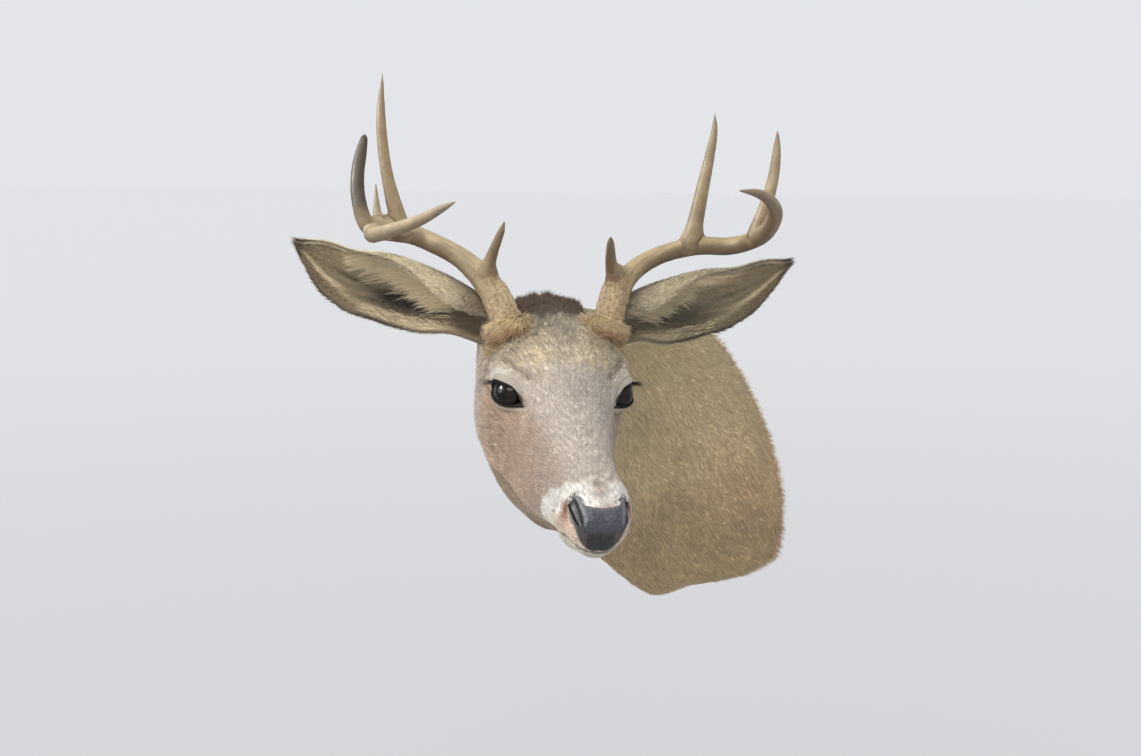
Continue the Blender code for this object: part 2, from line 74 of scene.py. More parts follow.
class Side(Enum):
    """The deer's own left or right, as the sign of x."""

    LEFT = 1
    RIGHT = -1

    @property
    def word(self) -> str:
        """Name of the side in lower case."""
        return self.name.lower()


# ---- Small tools: numbers, colours, curves, nodes and meshes ----


def ease(low: float | Array, high: float | Array, value: Array) -> Array:
    """Smooth step from 0 at low to 1 at high: 3t^2 - 2t^3 of the clipped fraction t."""
    t = np.clip((value - low) / (np.asarray(high) - low), 0, 1)
    return t * t * (3 - 2 * t)


def bell(value: Array, centre: float | Array, width: float | Array) -> Array:
    """Bell curve, 1 at the centre and 0.37 one width away: exp(-d^2)."""
    return np.exp(-(((value - centre) / width) ** 2))


def unit(vectors: Array) -> Array:
    """Vectors scaled to length one."""
    return vectors / np.maximum(np.linalg.norm(vectors, axis=-1, keepdims=True), 1e-9)


def linear(hex_colour: str) -> Array:
    """sRGB hex colour as linear red, green and blue."""
    value = np.array([int(hex_colour[i:i + 2], 16) for i in (1, 3, 5)]) / 255
    return np.where(value <= 0.04045, value / 12.92, ((value + 0.055) / 1.055) ** 2.4)


def blend(under: Array, over: Array, weight: Array) -> Array:
    """Colours under mixed with colours over: under + (over - under) * weight."""
    return under + (over - under) * np.asarray(weight)[..., None]


def dimmed(colours: Array, most: float = 0.86) -> Array:
    """Colours scaled down, each as a whole, so that no channel is over the most a coat reflects."""
    return colours * np.minimum(1, most / np.maximum(colours.max(-1, keepdims=True), 1e-6))


def mottle(points: Array, size: float, seed: int) -> Array:
    """Smooth random pattern, about -1 to 1.

    Args:
        points: Points in mm.
        size: Typical width of a patch in mm.
        seed: Picks the pattern.

    Returns:
        The sum of twelve sine waves of random direction, wavelength and phase.
    """
    rng = np.random.default_rng(seed)
    waves = unit(rng.normal(size=(12, 3))) * rng.uniform(0.6, 1.5, (12, 1)) * math.pi / size
    phases = rng.uniform(0, 2 * math.pi, 12)
    return np.sin(points @ waves.T + phases).sum(-1) / 4


def table_curve(table: Array, at: Array) -> Array:
    """Cubic Hermite curve through a table's rows, whose first column is the knot.

    The slope at each knot is the central difference of its neighbours.

    Args:
        table: Knots and values, a row for each knot.
        at: Where the curve is read.

    Returns:
        The values there, one row for each place.
    """
    knots, rows = table[:, 0], table[:, 1:]
    slopes = np.gradient(rows, knots, axis=0)
    at = np.clip(np.asarray(at, dtype=float), knots[0], knots[-1])
    cell = np.clip(np.searchsorted(knots, at, side="right") - 1, 0, len(knots) - 2)
    span = (knots[cell + 1] - knots[cell])[..., None]
    t = (at - knots[cell])[..., None] / span
    first = (1 + 2 * t) * (1 - t) ** 2 * rows[cell] + t * (1 - t) ** 2 * span * slopes[cell]
    second = t * t * (3 - 2 * t) * rows[cell + 1] - t * t * (1 - t) * span * slopes[cell + 1]
    return first + second


def turned(yaw: Array, pitch: Array, roll: Array) -> Array:
    """Rotation matrices (N, 3, 3): roll about y, then pitch about x, then yaw about z.

    Args:
        yaw: Angle about z.
        pitch: Angle about x.
        roll: Angle about y.

    Returns:
        The matrices.
    """
    cy, sy, cp, sp = np.cos(yaw), np.sin(yaw), np.cos(pitch), np.sin(pitch)
    cr, sr = np.cos(roll), np.sin(roll)
    zero, one = np.zeros_like(cy), np.ones_like(cy)
    about_z = np.stack([cy, -sy, zero, sy, cy, zero, zero, zero, one], -1).reshape(-1, 3, 3)
    about_x = np.stack([one, zero, zero, zero, cp, -sp, zero, sp, cp], -1).reshape(-1, 3, 3)
    about_y = np.stack([cr, zero, sr, zero, one, zero, -sr, zero, cr], -1).reshape(-1, 3, 3)
    return about_z @ about_x @ about_y


def grid_triangles(rows: int, columns: int, wrap: bool, flip: bool = False) -> Array:
    """Two triangles for each cell of a grid of vertices numbered row by row.

    Args:
        rows: Rows of vertices.
        columns: Vertices in a row.
        wrap: Whether the last column joins the first.
        flip: Whether the faces are turned over.

    Returns:
        Vertex numbers, one row of three for each triangle.
    """
    cells = columns if wrap else columns - 1
    i, j = np.meshgrid(np.arange(rows - 1), np.arange(cells), indexing="ij")
    a, b = i * columns + j, i * columns + (j + 1) % columns
    c, d = b + columns, a + columns
    faces = np.concatenate([np.stack([a, b, c], -1).reshape(-1, 3), np.stack([a, c, d], -1).reshape(-1, 3)])
    return faces[:, ::-1] if flip else faces


def fan_triangles(row: Array, pole: int, flip: bool = False) -> Array:
    """Triangles from a closed row of vertices to one pole."""
    faces = np.stack([row, np.full_like(row, pole), np.roll(row, -1)], -1)
    return faces[:, ::-1] if flip else faces


def add_node(tree: NodeTree, kind: str, links: dict | None = None,
             into: NodeSocket | None = None, **settings) -> Node:
    """Adds a shader node.

    Args:
        tree: Tree that gets the node.
        kind: Blender's name for the node type.
        links: Input name or number to a constant, an output socket, or a node's first output.
        into: Input that the new node's first output feeds.
        settings: Attributes to set on the node.

    Returns:
        The node.
    """
    node = tree.nodes.new(kind)
    for name, value in settings.items():
        setattr(node, name, value)
    for name, value in (links or {}).items():
        source = value.outputs[0] if isinstance(value, Node) else value
        if isinstance(source, NodeSocket):
            tree.links.new(source, node.inputs[name])
        else:
            node.inputs[name].default_value = source
    if into is not None:
        tree.links.new(node.outputs[0], into)
    return node


def new_material(name: str, **constants) -> tuple[Material, NodeTree, Node]:
    """Material with its tree and its Principled shader, whose constants are set by socket name.

    Args:
        name: Name of the material.
        constants: Values of the shader, with _ for a space.

    Returns:
        The material, its tree and its shader.
    """
    material = bpy.data.materials.new(name)
    material.use_nodes = True
    tree = material.node_tree
    shader = tree.nodes["Principled BSDF"]
    for socket, value in constants.items():
        shader.inputs[socket.replace("_", " ")].default_value = value
    return material, tree, shader


def new_piece(name: str, points: Array, triangles: Array, material: Material,
              colours: Array | None = None, bake_map: Array | None = None) -> Object:
    """Makes a smooth triangle mesh that rides on the mount.

    Args:
        name: Name of the piece.
        points: Vertices in mm, in the row frame.
        triangles: Vertex numbers, three for each face.
        material: Finish of the whole piece.
        colours: Linear colour of each vertex, kept as the attribute "coat".
        bake_map: UV of each face corner, kept as the map OFBake.

    Returns:
        The object.
    """
    mesh = bpy.data.meshes.new(name)
    mesh.vertices.add(len(points))
    mesh.vertices.foreach_set("co", (points * MM).astype(np.float32).ravel())
    mesh.loops.add(triangles.size)
    mesh.loops.foreach_set("vertex_index", triangles.astype(np.int32).ravel())
    mesh.polygons.add(len(triangles))
    mesh.polygons.foreach_set("loop_start", np.arange(0, triangles.size, 3, dtype=np.int32))
    mesh.update(calc_edges=True)
    mesh.shade_smooth()
    if colours is not None:
        rgba = np.concatenate([np.clip(colours, 0, 1), np.ones((len(colours), 1))], 1)
        layer = mesh.color_attributes.new("coat", "FLOAT_COLOR", "POINT")
        layer.data.foreach_set("color", rgba.astype(np.float32).ravel())
    if bake_map is not None:
        mesh.uv_layers.new(name="OFBake").data.foreach_set("uv", bake_map.astype(np.float32).ravel())
    mesh.materials.append(material)
    piece = bpy.data.objects.new(name, mesh)
    bpy.context.scene.collection.objects.link(piece)
    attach(piece, BODY)
    LOG.info("%s: %d triangles", name, len(triangles))
    return piece


# ---- Form of the hide ----


@dataclass(frozen=True)
class Hide:
    """Outer form of the head, neck and shoulders, out to the tips of the coat.

    A section is set at each station from the muzzle's front (-172) past the eyes (0) and the poll (110)
    to the wall (430). It gives the half width, the height of the widest point, the top, the bottom and
    the roundness of the upper and the lower half. The section planes are straight in the head and turn
    along a Hermite curve in the neck. Forms are pushed out or in with a bell curve round a centre.
    """

    eye_point: tuple = (25.0, -360.0, 105.0)
    yaw: float = math.radians(36.2)
    pitch: float = math.radians(22.2)
    roll: float = math.radians(2.4)
    neck_start: float = 110.0
    neck_length: float = 320.0
    neck_tension: float = 160.0
    back_clearance: float = 1.0
    muzzle_start: float = -172.0
    muzzle_depth: float = 19.0
    nose_height: float = -20.0
    board_stations: tuple = (394.0, 399.0, 404.0, 409.0, 414.0, 419.0, 424.0, 429.0)
    sections: tuple = (
        (-172, 27.5, -19, 6, -53, 2.4, 1.8),
        (-158, 31.0, -20, 12, -60, 2.4, 2.2),
        (-138, 28.0, -20, 17, -65, 2.4, 2.4),
        (-110, 28.5, -24, 23, -79, 2.3, 2.5),
        (-80, 34.0, -30, 30, -94, 2.3, 2.6),
        (-50, 42.0, -32, 37, -112, 2.3, 2.7),
        (-25, 52.0, -22, 42, -121, 2.3, 2.6),
        (0, 62.5, -13, 46, -129, 2.3, 2.5),
        (25, 68.5, -10, 49, -131, 2.3, 2.5),
        (50, 71.0, -14, 49, -124, 2.3, 2.5),
        (80, 68.0, -18, 46, -117, 2.2, 2.4),
        (110, 64.0, -20, 42, -112, 2.2, 2.2),
        (150, 65.0, -26, 44, -128, 2.1, 2.0),
        (190, 68.0, -32, 50, -154, 2.0, 1.8),
        (230, 75.0, -40, 66, -178, 1.95, 1.7),
        (270, 84, -48, 89, -193, 1.9, 1.45),
        (310, 98, -50, 112, -195, 1.85, 1.3),
        (350, 110, -50, 132, -187, 1.75, 1.35),
        (390, 118, -54, 146, -164, 1.62, 1.75),
        (430, 121, -54, 152, -143, 1.55, 3.4),
    )
    forms: tuple = (
        ("brow", (58, -2, 24), (16, 22, 11), (5, -1, 3)),
        ("eye_socket", (60, -5, 5), (14, 16, 12), (-7, 0, 0)),
        ("tear_hollow", (48, -27, 0), (14, 16, 12), (-6, 0, 0)),
        ("cheekbone", (64, 8, -26), (14, 30, 10), (1, 0, -1)),
        ("cheek_hollow", (62, 2, -52), (26, 30, 32), (-13, 0, 0)),
        ("chewing_muscle", (62, 52, -60), (22, 26, 32), (3, 0, 0)),
        ("lip_narrowing", (34, -112, -46), (12, 24, 16), (-3, 0, 0)),
        ("upper_lip", (32, -158, -28), (13, 20, 13), (2, -1, 0)),
        ("chin_set_back", (0, -186, -56), (60, 30, 14), (0, 1, 0)),
        ("forehead_dip", (0, -14, 48), (15, 30, 14), (0, 0, -3)),
        ("pedicel", (48, 58, 52), (17, 17, 20), (5, -1, 9)),
        ("ear_butt", (62, 98, 22), (22, 22, 24), (9, 2, 6)),
        ("crown_tuft", (0, 88, 60), (26, 18, 16), (0, 3, 5)),
    )

    @property
    def wall_station(self) -> float:
        """Station of the hide's edge on the wall."""
        return self.neck_start + self.neck_length

    @property
    def pole_station(self) -> float:
        """Station of the nose's foremost point."""
        return self.muzzle_start - self.muzzle_depth

    @property
    def head_turn(self) -> Array:
        """Rotation from head axes to the row frame."""
        return turned(np.array([self.yaw]), np.array([self.pitch]), np.array([self.roll]))[0]

    def to_world(self, head_points: Array) -> Array:
        """Points in head axes as points in the row frame."""
        return head_points @ self.head_turn.T + self.eye_point

    def to_head(self, world_points: Array) -> Array:
        """Points in the row frame as points in head axes."""
        return (world_points - self.eye_point) @ self.head_turn

    def carriage(self, station: Array) -> tuple[Array, Array]:
        """Origin and rotation of each section plane.

        Args:
            station: Station of each point.

        Returns:
            Origins (N, 3) and rotations (N, 3, 3).
        """
        eye, back = np.array(self.eye_point), self.head_turn[:, 1]
        straight = eye + station[:, None] * back
        t = np.clip((station - self.neck_start) / self.neck_length, 0, 1)[:, None]
        start, end = eye + self.neck_start * back, np.array([0, -self.back_clearance, 0])
        curve = ((1 + 2 * t) * (1 - t) ** 2 * start + t * (1 - t) ** 2 * self.neck_tension * back
                 + t * t * (3 - 2 * t) * end - t * t * (1 - t) * self.neck_tension * np.array([0, 1, 0]))
        origin = np.where(station[:, None] > self.neck_start, curve, straight)
        share = 1 - (t * t * (3 - 2 * t))[:, 0]
        return origin, turned(self.yaw * share, self.pitch * share, self.roll * share)

    def local(self, station: Array, angle: Array) -> Array:
        """Points on the sections, in axes that are the head's own as far as the poll.

        Each half is a superellipse. In front of the first section the section shrinks as a quarter of
        a superellipse, down to the nose's front.

        Args:
            station: Station of each point.
            angle: Angle of each point round its section.

        Returns:
            The points.
        """
        ahead = np.clip((self.muzzle_start - station) / self.muzzle_depth, 0, 1) * math.pi / 2
        width, widest, top, bottom, upper, lower = table_curve(np.array(self.sections, float), station).T
        cos, sin = np.cos(angle), np.sin(angle)
        power = 2 / np.where(sin > 0, upper, lower)
        x = width * np.sign(cos) * np.abs(cos) ** power
        z = widest + np.where(sin > 0, top - widest, widest - bottom) * np.sign(sin) * np.abs(sin) ** power
        shrink = np.cos(ahead) ** 0.75
        x, z = x * shrink, self.nose_height + (z - self.nose_height) * shrink
        front = self.muzzle_start - self.muzzle_depth * np.sin(ahead)
        y = np.where(station < self.muzzle_start, front, station)
        for _, centre, radii, push in self.forms:
            weight = np.exp(-(((np.abs(x) - centre[0]) / radii[0]) ** 2 + ((y - centre[1]) / radii[1]) ** 2
                              + ((z - centre[2]) / radii[2]) ** 2))
            x, y, z = x + np.sign(x) * push[0] * weight, y + push[1] * weight, z + push[2] * weight
        return np.stack([x, y, z], -1)

    def place(self, station: Array, local: Array) -> Array:
        """Points given in section axes as points in the row frame.

        Args:
            station: Station of each point.
            local: Points in section axes.

        Returns:
            The points.
        """
        origin, turn = self.carriage(station)
        ahead = local - np.stack([np.zeros_like(station), station, np.zeros_like(station)], -1)
        return origin + np.einsum("nij,nj->ni", turn, ahead)

    def points(self, station: Array, angle: Array) -> Array:
        """Points of the outer form in the row frame."""
        return self.place(station, self.local(station, angle))

    def common_reach(self, turns: Array) -> tuple[Array, Array]:
        """What the sections next to the wall have in common: their middle (x, z) and the reach.

        Each section is read as its reach in every direction from one middle, and the shortest reach
        of them all counts.

        Args:
            turns: Directions in the plane of the wall.

        Returns:
            The middle, and the reach in each direction.
        """
        angles = np.linspace(0, 2 * math.pi, 360, endpoint=False)
        middle = self.points(np.full(len(angles), self.board_stations[0]), angles)[:, [0, 2]].mean(0)
        reach = np.full(len(turns), np.inf)
        for station in self.board_stations:
            arms = self.points(np.full(len(angles), station), angles)[:, [0, 2]] - middle
            turn = np.arctan2(arms[:, 1], arms[:, 0])
            reach = np.minimum(reach, np.interp(turns, turn, np.hypot(*arms.T), period=2 * math.pi))
        return middle, reach

    def frame_at(self, station: Array, angle: Array) -> tuple[Array, Array, Array, Array]:
        """Point, outward normal, direction to the back and direction round, by central differences.

        Args:
            station: Station of each point.
            angle: Angle of each point round its section.

        Returns:
            The four arrays, each (N, 3).
        """
        step, turn = 0.6, 0.012
        ahead = np.clip(station + step, self.pole_station, self.wall_station)
        behind = np.clip(station - step, self.pole_station, self.wall_station)
        back = unit(self.points(ahead, angle) - self.points(behind, angle))
        around = unit(self.points(station, angle + turn) - self.points(station, angle - turn))
        normal = unit(np.cross(back, around))
        return self.points(station, angle), normal, back, around


HIDE = Hide()


@dataclass(frozen=True)
class HeightField:
    """Height of the hide over a flat patch: the Gaussian mean of the hide's points near by."""

    places: Array
    heights: Array
    reach: float
    batch: int = 2000

    def at(self, spots: Array) -> Array:
        """Height over each spot (N, 2) of the patch.

        Args:
            spots: Places (N, 2) on the patch.

        Returns:
            The height over each.
        """
        result = np.empty(len(spots))
        for start in range(0, len(spots), self.batch):
            part = slice(start, start + self.batch)
            away = ((spots[part, None, :] - self.places[None]) ** 2).sum(-1)
            weight = np.exp(-(away - away.min(1, keepdims=True)) / self.reach ** 2)
            result[part] = (weight * self.heights).sum(1) / weight.sum(1)
        return result


# ---- Eyes ----


@dataclass(frozen=True)
class EyeForm:
    """Eyeball and the almond opening of the lids, as for the left eye in head axes.

    Eye axes run from the ball's centre: h back along the slit, v up, and e out along the gaze.
    """

    centre: tuple = (46.5, 0.0, 4.5)
    radius: float = 17.2
    gaze_angle: float = math.radians(52)
    slit_middle: float = -1.8
    half_length: float = 20.8
    upper_rise: float = 12.4
    lower_drop: float = 5.6
    lift: float = 0.7
    lid_reach: float = 13.0
    rim_level: float = 10.4
    rim_slope: float = -0.10

    @property
    def axes(self) -> Array:
        """Rows h, v and e in head axes."""
        sin, cos = math.sin(self.gaze_angle), math.cos(self.gaze_angle)
        return np.array([(cos, sin, 0.0), (0.0, 0.0, 1.0), (sin, -cos, 0.0)])

    def to_eye(self, head_points: Array) -> Array:
        """Head axes (x taken as on the left) to eye axes."""
        mirrored = np.concatenate([np.abs(head_points[:, :1]), head_points[:, 1:]], 1)
        return (mirrored - self.centre) @ self.axes.T

    def to_head(self, eye_points: Array, side: Side) -> Array:
        """Eye axes to head axes on one side."""
        head = eye_points @ self.axes + self.centre
        return head * (side.value, 1, 1)

    def rim(self, theta: Array) -> Array:
        """Opening's edge (h, v): an almond that narrows towards the tear duct in front.

        Args:
            theta: Angle round the opening.

        Returns:
            The edge (N, 2).
        """
        cos, sin = np.cos(theta), np.sin(theta)
        h = self.slit_middle + self.half_length * cos
        duct = 1 - 0.62 * bell(h, self.slit_middle - self.half_length, 7.0)
        upper, lower = self.upper_rise * np.abs(sin) ** 0.95, -self.lower_drop * np.abs(sin) ** 0.8
        rise = np.where(sin > 0, upper, lower)
        return np.stack([h, rise * duct + self.lift + 0.04 * (self.slit_middle - h)], -1)

    def rim_plane(self, h: Array) -> Array:
        """Height of the rim where it is clear of the ball: lower towards the outer corner."""
        return self.rim_level + self.rim_slope * (h - self.slit_middle) - 0.17 * np.maximum(h - 4, 0)

    def ball_height(self, spots: Array, radius: float) -> Array:
        """Height of the ball's front over (h, v), and nought outside it."""
        return np.sqrt(np.maximum(radius ** 2 - (spots ** 2).sum(-1), 0))

    def nearness(self, eye_points: Array) -> Array:
        """Below 1 in the opening; past its rim, 1 plus the distance in units of the upper lid's rise.

        Args:
            eye_points: Points in eye axes.

        Returns:
            The nearness of each, and 9 behind the ball.
        """
        h, v = eye_points[:, 0] - self.slit_middle, eye_points[:, 1] - self.lift
        height = np.where(v > 0, self.upper_rise, self.lower_drop)
        inside = np.maximum(np.sqrt((h / self.half_length) ** 2 + (v / height) ** 2), 1e-3)
        beyond = 1 + np.hypot(h, v) * (1 - 1 / inside) / self.upper_rise
        return np.where(eye_points[:, 2] > -6, np.where(inside < 1, inside, beyond), 9.0)


EYE = EyeForm()


# ---- Colours ----


@dataclass(frozen=True)
class MountColours:
    """Colours of a buck's autumn coat, its bare skin, glass eyes and antlers, and of the stage."""

    bridge: str = "#c6bbb1"
    forehead: str = "#cabca8"
    forehead_gold: str = "#d7c59b"
    forehead_dark: str = "#7d7166"
    cheek: str = "#ac9381"
    # Grey brown of the lower jaw, partly its own hair and partly painted shade under the cheek.
    jaw: str = "#917f6b"
    white: str = "#f4f0e8"
    cream: str = "#dfd3bf"
    lip_tan: str = "#d0bbab"
    chin: str = "#cfc8b8"
    # Dark of the brow fold: painted shade in the crease.
    crease: str = "#5d5047"
    muzzle_brown: str = "#8f6350"
    muzzle_stripe: str = "#a8978c"
    crown: str = "#5f4733"
    collar: str = "#c4b089"
    # Brown of the collars' hair, also used as painted shade under and round the collar rolls.
    collar_brown_and_shade: str = "#9b7a5c"
    neck: str = "#bdab88"
    neck_grey: str = "#94866c"
    neck_warm: str = "#b89a7c"
    neck_low: str = "#968364"
    brisket: str = "#a99473"
    fringe: str = "#b28656"
    dark_skin: str = "#241f1e"
    nose: str = "#1f1c1f"
    # Blue grey of the nose leather's upper part: a painted sheen, the pale room reflected in the waxy
    # leather.
    nose_painted_sheen: str = "#4e505a"
    ear_back: str = "#8b7d6c"
    ear_back_dark: str = "#63574b"
    ear_inner: str = "#9d8b70"
    ear_hollow: str = "#2d221b"
    ear_olive: str = "#7d735f"
    ear_brown: str = "#7a6552"
    ear_strip: str = "#c9bc9f"
    ear_rim: str = "#3f342d"
    ear_hair: str = "#f4e2bd"
    ear_tick: str = "#dccfae"
    gold_tip: str = "#e2d1a8"
    dark_tip: str = "#5a4c40"
    nose_rim: str = "#9aa0a4"
    nose_crease: str = "#57504e"
    nose_edge: str = "#8b8078"
    nostril: str = "#070607"
    lid_edge: str = "#151113"
    lash: str = "#1d1815"
    iris: str = "#170f0a"
    iris_streak: str = "#281910"
    iris_rim: str = "#0a0807"
    pupil: str = "#040506"
    bone: str = "#948467"
    # Paler upper side and darker underside of the bone are painted highlight and painted shade; the mid-beam
    # stain is laid on its lower side, so it is stain and painted shade in one.
    bone_top_highlight: str = "#b6a482"
    bone_underside_shade: str = "#776249"
    bone_stain_and_shade: str = "#5d4d3a"
    bone_groove: str = "#6f5a40"
    bone_tip: str = "#7c6b5b"
    bone_dark: str = "#4f4136"
    bone_foot: str = "#b39b72"
    bone_speck: str = "#63513a"
    bone_honey: str = "#84683f"
    birch_dark: str = "#b08b5e"
    birch_pale: str = "#d9bd92"
    zinc: str = "#c9cbcd"
    # Floor paler with distance: a painted brightening that stands in for the glancing reflection towards the
    # horizon.
    floor_near: str = "#bdbec1"
    floor_far: str = "#c8cacd"
    room: str = "#e3e5e8"
    sunlight: str = "#fffbf5"


TONES = {name: linear(hex_colour) for name, hex_colour in vars(MountColours()).items()}


def plain(name: str, count: int) -> Array:
    """One tone for a number of points."""
    return np.tile(TONES[name], (count, 1))


def layered(colours: Array, *layers: tuple[str | Array, Array]) -> Array:
    """Lays tones over colours, one after another.

    Args:
        colours: Linear colours below.
        layers: Each one's tone, by name or as a colour, and its weight at every point.

    Returns:
        The linear colours.
    """
    for tone, weight in layers:
        colours = blend(colours, TONES[tone] if isinstance(tone, str) else tone, weight)
    return colours


@dataclass(frozen=True)
class Markings:
    """Where each colour of the coat lies on the head, neck and shoulders."""

    pedicel: tuple = (51.0, 64.0)
    jaw_line: tuple = ((-120, -66), (-102, -73), (-73, -83), (-48, -85), (-21, -84), (6, -87), (40, -94))
    white_back: tuple = ((-50, -88), (-25, -116), (-3, -138), (8, -154), (20, -158))
    white_front: tuple = ((-50, -122), (-30, -150), (-15, -165), (-5, -173), (1, -177), (8, -180))
    crease: tuple = ((-20, 36), (-8, 43), (6, 51), (20, 56))

    def jaw_height(self, y: Array) -> Array:
        """Height of the fold between the cheek and the lower jaw."""
        return np.interp(y, *np.array(self.jaw_line, float).T)

    def brow_crease(self, local: Array) -> Array:
        """Share of the crease that runs slantwise over the brow, 1 in its middle.

        Args:
            local: Points in head axes.

        Returns:
            The share at each.
        """
        x, y, z = np.abs(local[:, 0]), local[:, 1], local[:, 2]
        line = np.interp(y, *np.array(self.crease, float).T)
        return bell(x, line, 3.2) * ease(-30, -14, y) * ease(28, 16, y) * ease(18, 26, z)

    def grizzle(self, points: Array, station: Array) -> Array:
        """Natural logarithm of the coat's flecking: specks 1.4 and 3 mm wide, and waves on the brow.

        Args:
            points: Points in the row frame.
            station: Station of each point.

        Returns:
            The logarithm at each.
        """
        brow, neck = bell(station, 22, 42), ease(80, 150, station)
        fine = (0.26 - 0.04 * neck) * mottle(points, 1.4, 19) + 0.1 * mottle(points, 3.0, 20)
        waves = 0.36 * mottle(points, 2.1, 17) + 0.22 * mottle(points, 4.4, 18)
        return fine * (1 - 0.4 * brow) + waves * brow

    def head(self, local: Array) -> Array:
        """Linear colours of the head coat.

        Args:
            local: Points in head axes.

        Returns:
            Pink grey bridge and cheeks, a pale forehead with gold and dark patches, and the markings, with
            painted shade in the brow fold and the jaw fold and partly on the lower jaw.
        """
        x, y, z = np.abs(local[:, 0]), local[:, 1], local[:, 2]
        soft, grain, top = mottle(local, 14, 3) * 3, mottle(local, 5, 4), ease(18, 34, z)
        golden = bell(x, 27, 17) * bell(y, 6, 26) * top * (0.75 + 0.5 * grain)
        patches = ease(0.1, 0.9, mottle(local, 9, 5) + 0.35 * grain) * bell(y, 34, 26) * top
        jaw = self.jaw_height(y)
        colour = layered(
            plain("bridge", len(x)),
            ("cheek", ease(8, 46, x + soft) * ease(24, -8, z + soft) * ease(60, 20, y) * 0.95),
            ("forehead", ease(-30, 15, y) * ease(10, 30, z)),
            ("forehead_gold", np.clip(0.62 * golden, 0, 0.9)),
            ("forehead_dark", 0.6 * patches),
            # The dark line in the brow fold is painted shade in the crease.
            ("crease", 0.6 * self.brow_crease(local)),
            ("forehead_dark", 0.4 * bell(x, 0, 10) * bell(y, 52, 16) * top),
            # Below the jaw fold the jaw tone is partly the lower jaw's own grey brown and partly painted
            # shade under the cheek; along the fold runs a dark line of painted shade.
            ("jaw", ease(1.5, -3.0, z - jaw) * ease(-125, -100, y)),
            ("forehead_dark", 0.8 * bell(z, jaw - 2, 3.0) * ease(-118, -100, y) * ease(35, 5, y)),
        )
        colour = self.muzzle(colour, local, soft, grain)
        return self.round_eyes(self.round_antlers(colour, local, grain), local)

    def muzzle(self, colour: Array, local: Array, soft: Array, grain: Array) -> Array:
        """Adds the white band round the muzzle, the tan lips in front of it and the pale chin.

        Args:
            colour: Colours so far.
            local: Points in head axes.
            soft: Coarse wander of the markings' edges, in mm.
            grain: Fine random pattern.

        Returns:
            The colours with the muzzle's markings.
        """
        x, y, z = np.abs(local[:, 0]), local[:, 1], local[:, 2]
        ahead = ease(3.5, -3.5, y + soft - np.interp(z, *np.array(self.white_back, float).T))
        ahead = ahead * ease(-74, -66, z)
        front = y + 0.8 * soft - np.interp(z, *np.array(self.white_front, float).T)
        stripe = bell(x, 0, 8.5) * ease(-12, -2, z) * (0.9 + 0.25 * grain)
        strip = bell(z, 4.0, 2.8) * ease(24, 17, x) * ease(-158, -166, y) * (0.7 + 0.6 * grain)
        lip = z - MOUTH.line(local)
        return layered(
            colour,
            ("lip_tan", ahead),
            ("white", ahead * ease(-5, 3, front) * 0.96),
            ("muzzle_stripe", np.clip(stripe * ahead, 0, 1)),
            ("white", np.clip(0.75 * strip, 0, 1)),
            ("muzzle_brown", 0.95 * bell(x, 27.5, 4.2) * bell(y, -168, 9) * bell(z, -11, 10)),
            ("cream", 0.8 * bell(lip, 3.2, 2.2) * ease(-150, -165, y)),
            ("chin", 0.95 * ease(0.5, -1.5, lip) * ease(-96, -112, y)),
            ("dark_skin", 0.9 * bell(lip, 0, 1.7) * ease(-104, -116, y)),
            ("cream", 0.85 * ease(-98, -108, z) * bell(y, 34, 30) * ease(38, 20, x)),
        )

    def round_antlers(self, colour: Array, local: Array, grain: Array) -> Array:
        """Adds the golden collars at the antlers' feet, painted shade under and round them, and the dark
        crown between them.

        Args:
            colour: Colours so far.
            local: Points in head axes.
            grain: Fine random pattern.

        Returns:
            The colours with these markings.
        """
        x, y, z = np.abs(local[:, 0]), local[:, 1], local[:, 2]
        away = np.hypot(x - self.pedicel[0], y - self.pedicel[1])
        crown = ease(60, 84, y + 9 * grain) * ease(36, 26, x + 4 * grain) * ease(24, 34, z)
        return layered(
            colour,
            # A faint dark ring just outside the collars: painted shadow of the collar rolls on the brow.
            ("forehead_dark", 0.1 * bell(away, 27, 6) * ease(8, 24, z)),
            # The skin under the collars takes the collar brown, partly the hair's own brown and partly
            # painted shade under the rolls.
            ("collar_brown_and_shade", ease(24, 19, away + 2 * grain) * ease(12, 26, z)),
            ("crown", 0.92 * crown),
            ("forehead_dark", 0.5 * bell(x, 66, 16) * bell(y, 92, 14) * bell(z, 16, 22)),
        )

    def round_eyes(self, colour: Array, local: Array) -> Array:
        """Adds the white arc over the lids, the pale ring below and the dark lid edges.

        Args:
            colour: Colours so far.
            local: Points in head axes.

        Returns:
            The colours with these markings.
        """
        eye = EYE.to_eye(local)
        near, upper = EYE.nearness(eye), ease(-2, 5, eye[:, 1])
        return layered(
            colour,
            ("white", 0.62 * upper * bell(near, 1.66, 0.24) * ease(-6, 9, eye[:, 0])),
            ("cream", 0.7 * (1 - upper) * bell(near, 1.4, 0.2)),
            ("cream", 0.55 * bell(eye[:, 0], -31, 4) * bell(eye[:, 1], -9, 9) * ease(0, 8, eye[:, 2])),
            ("dark_skin", 0.95 * ease(1.22, 1.12, near)),
        )

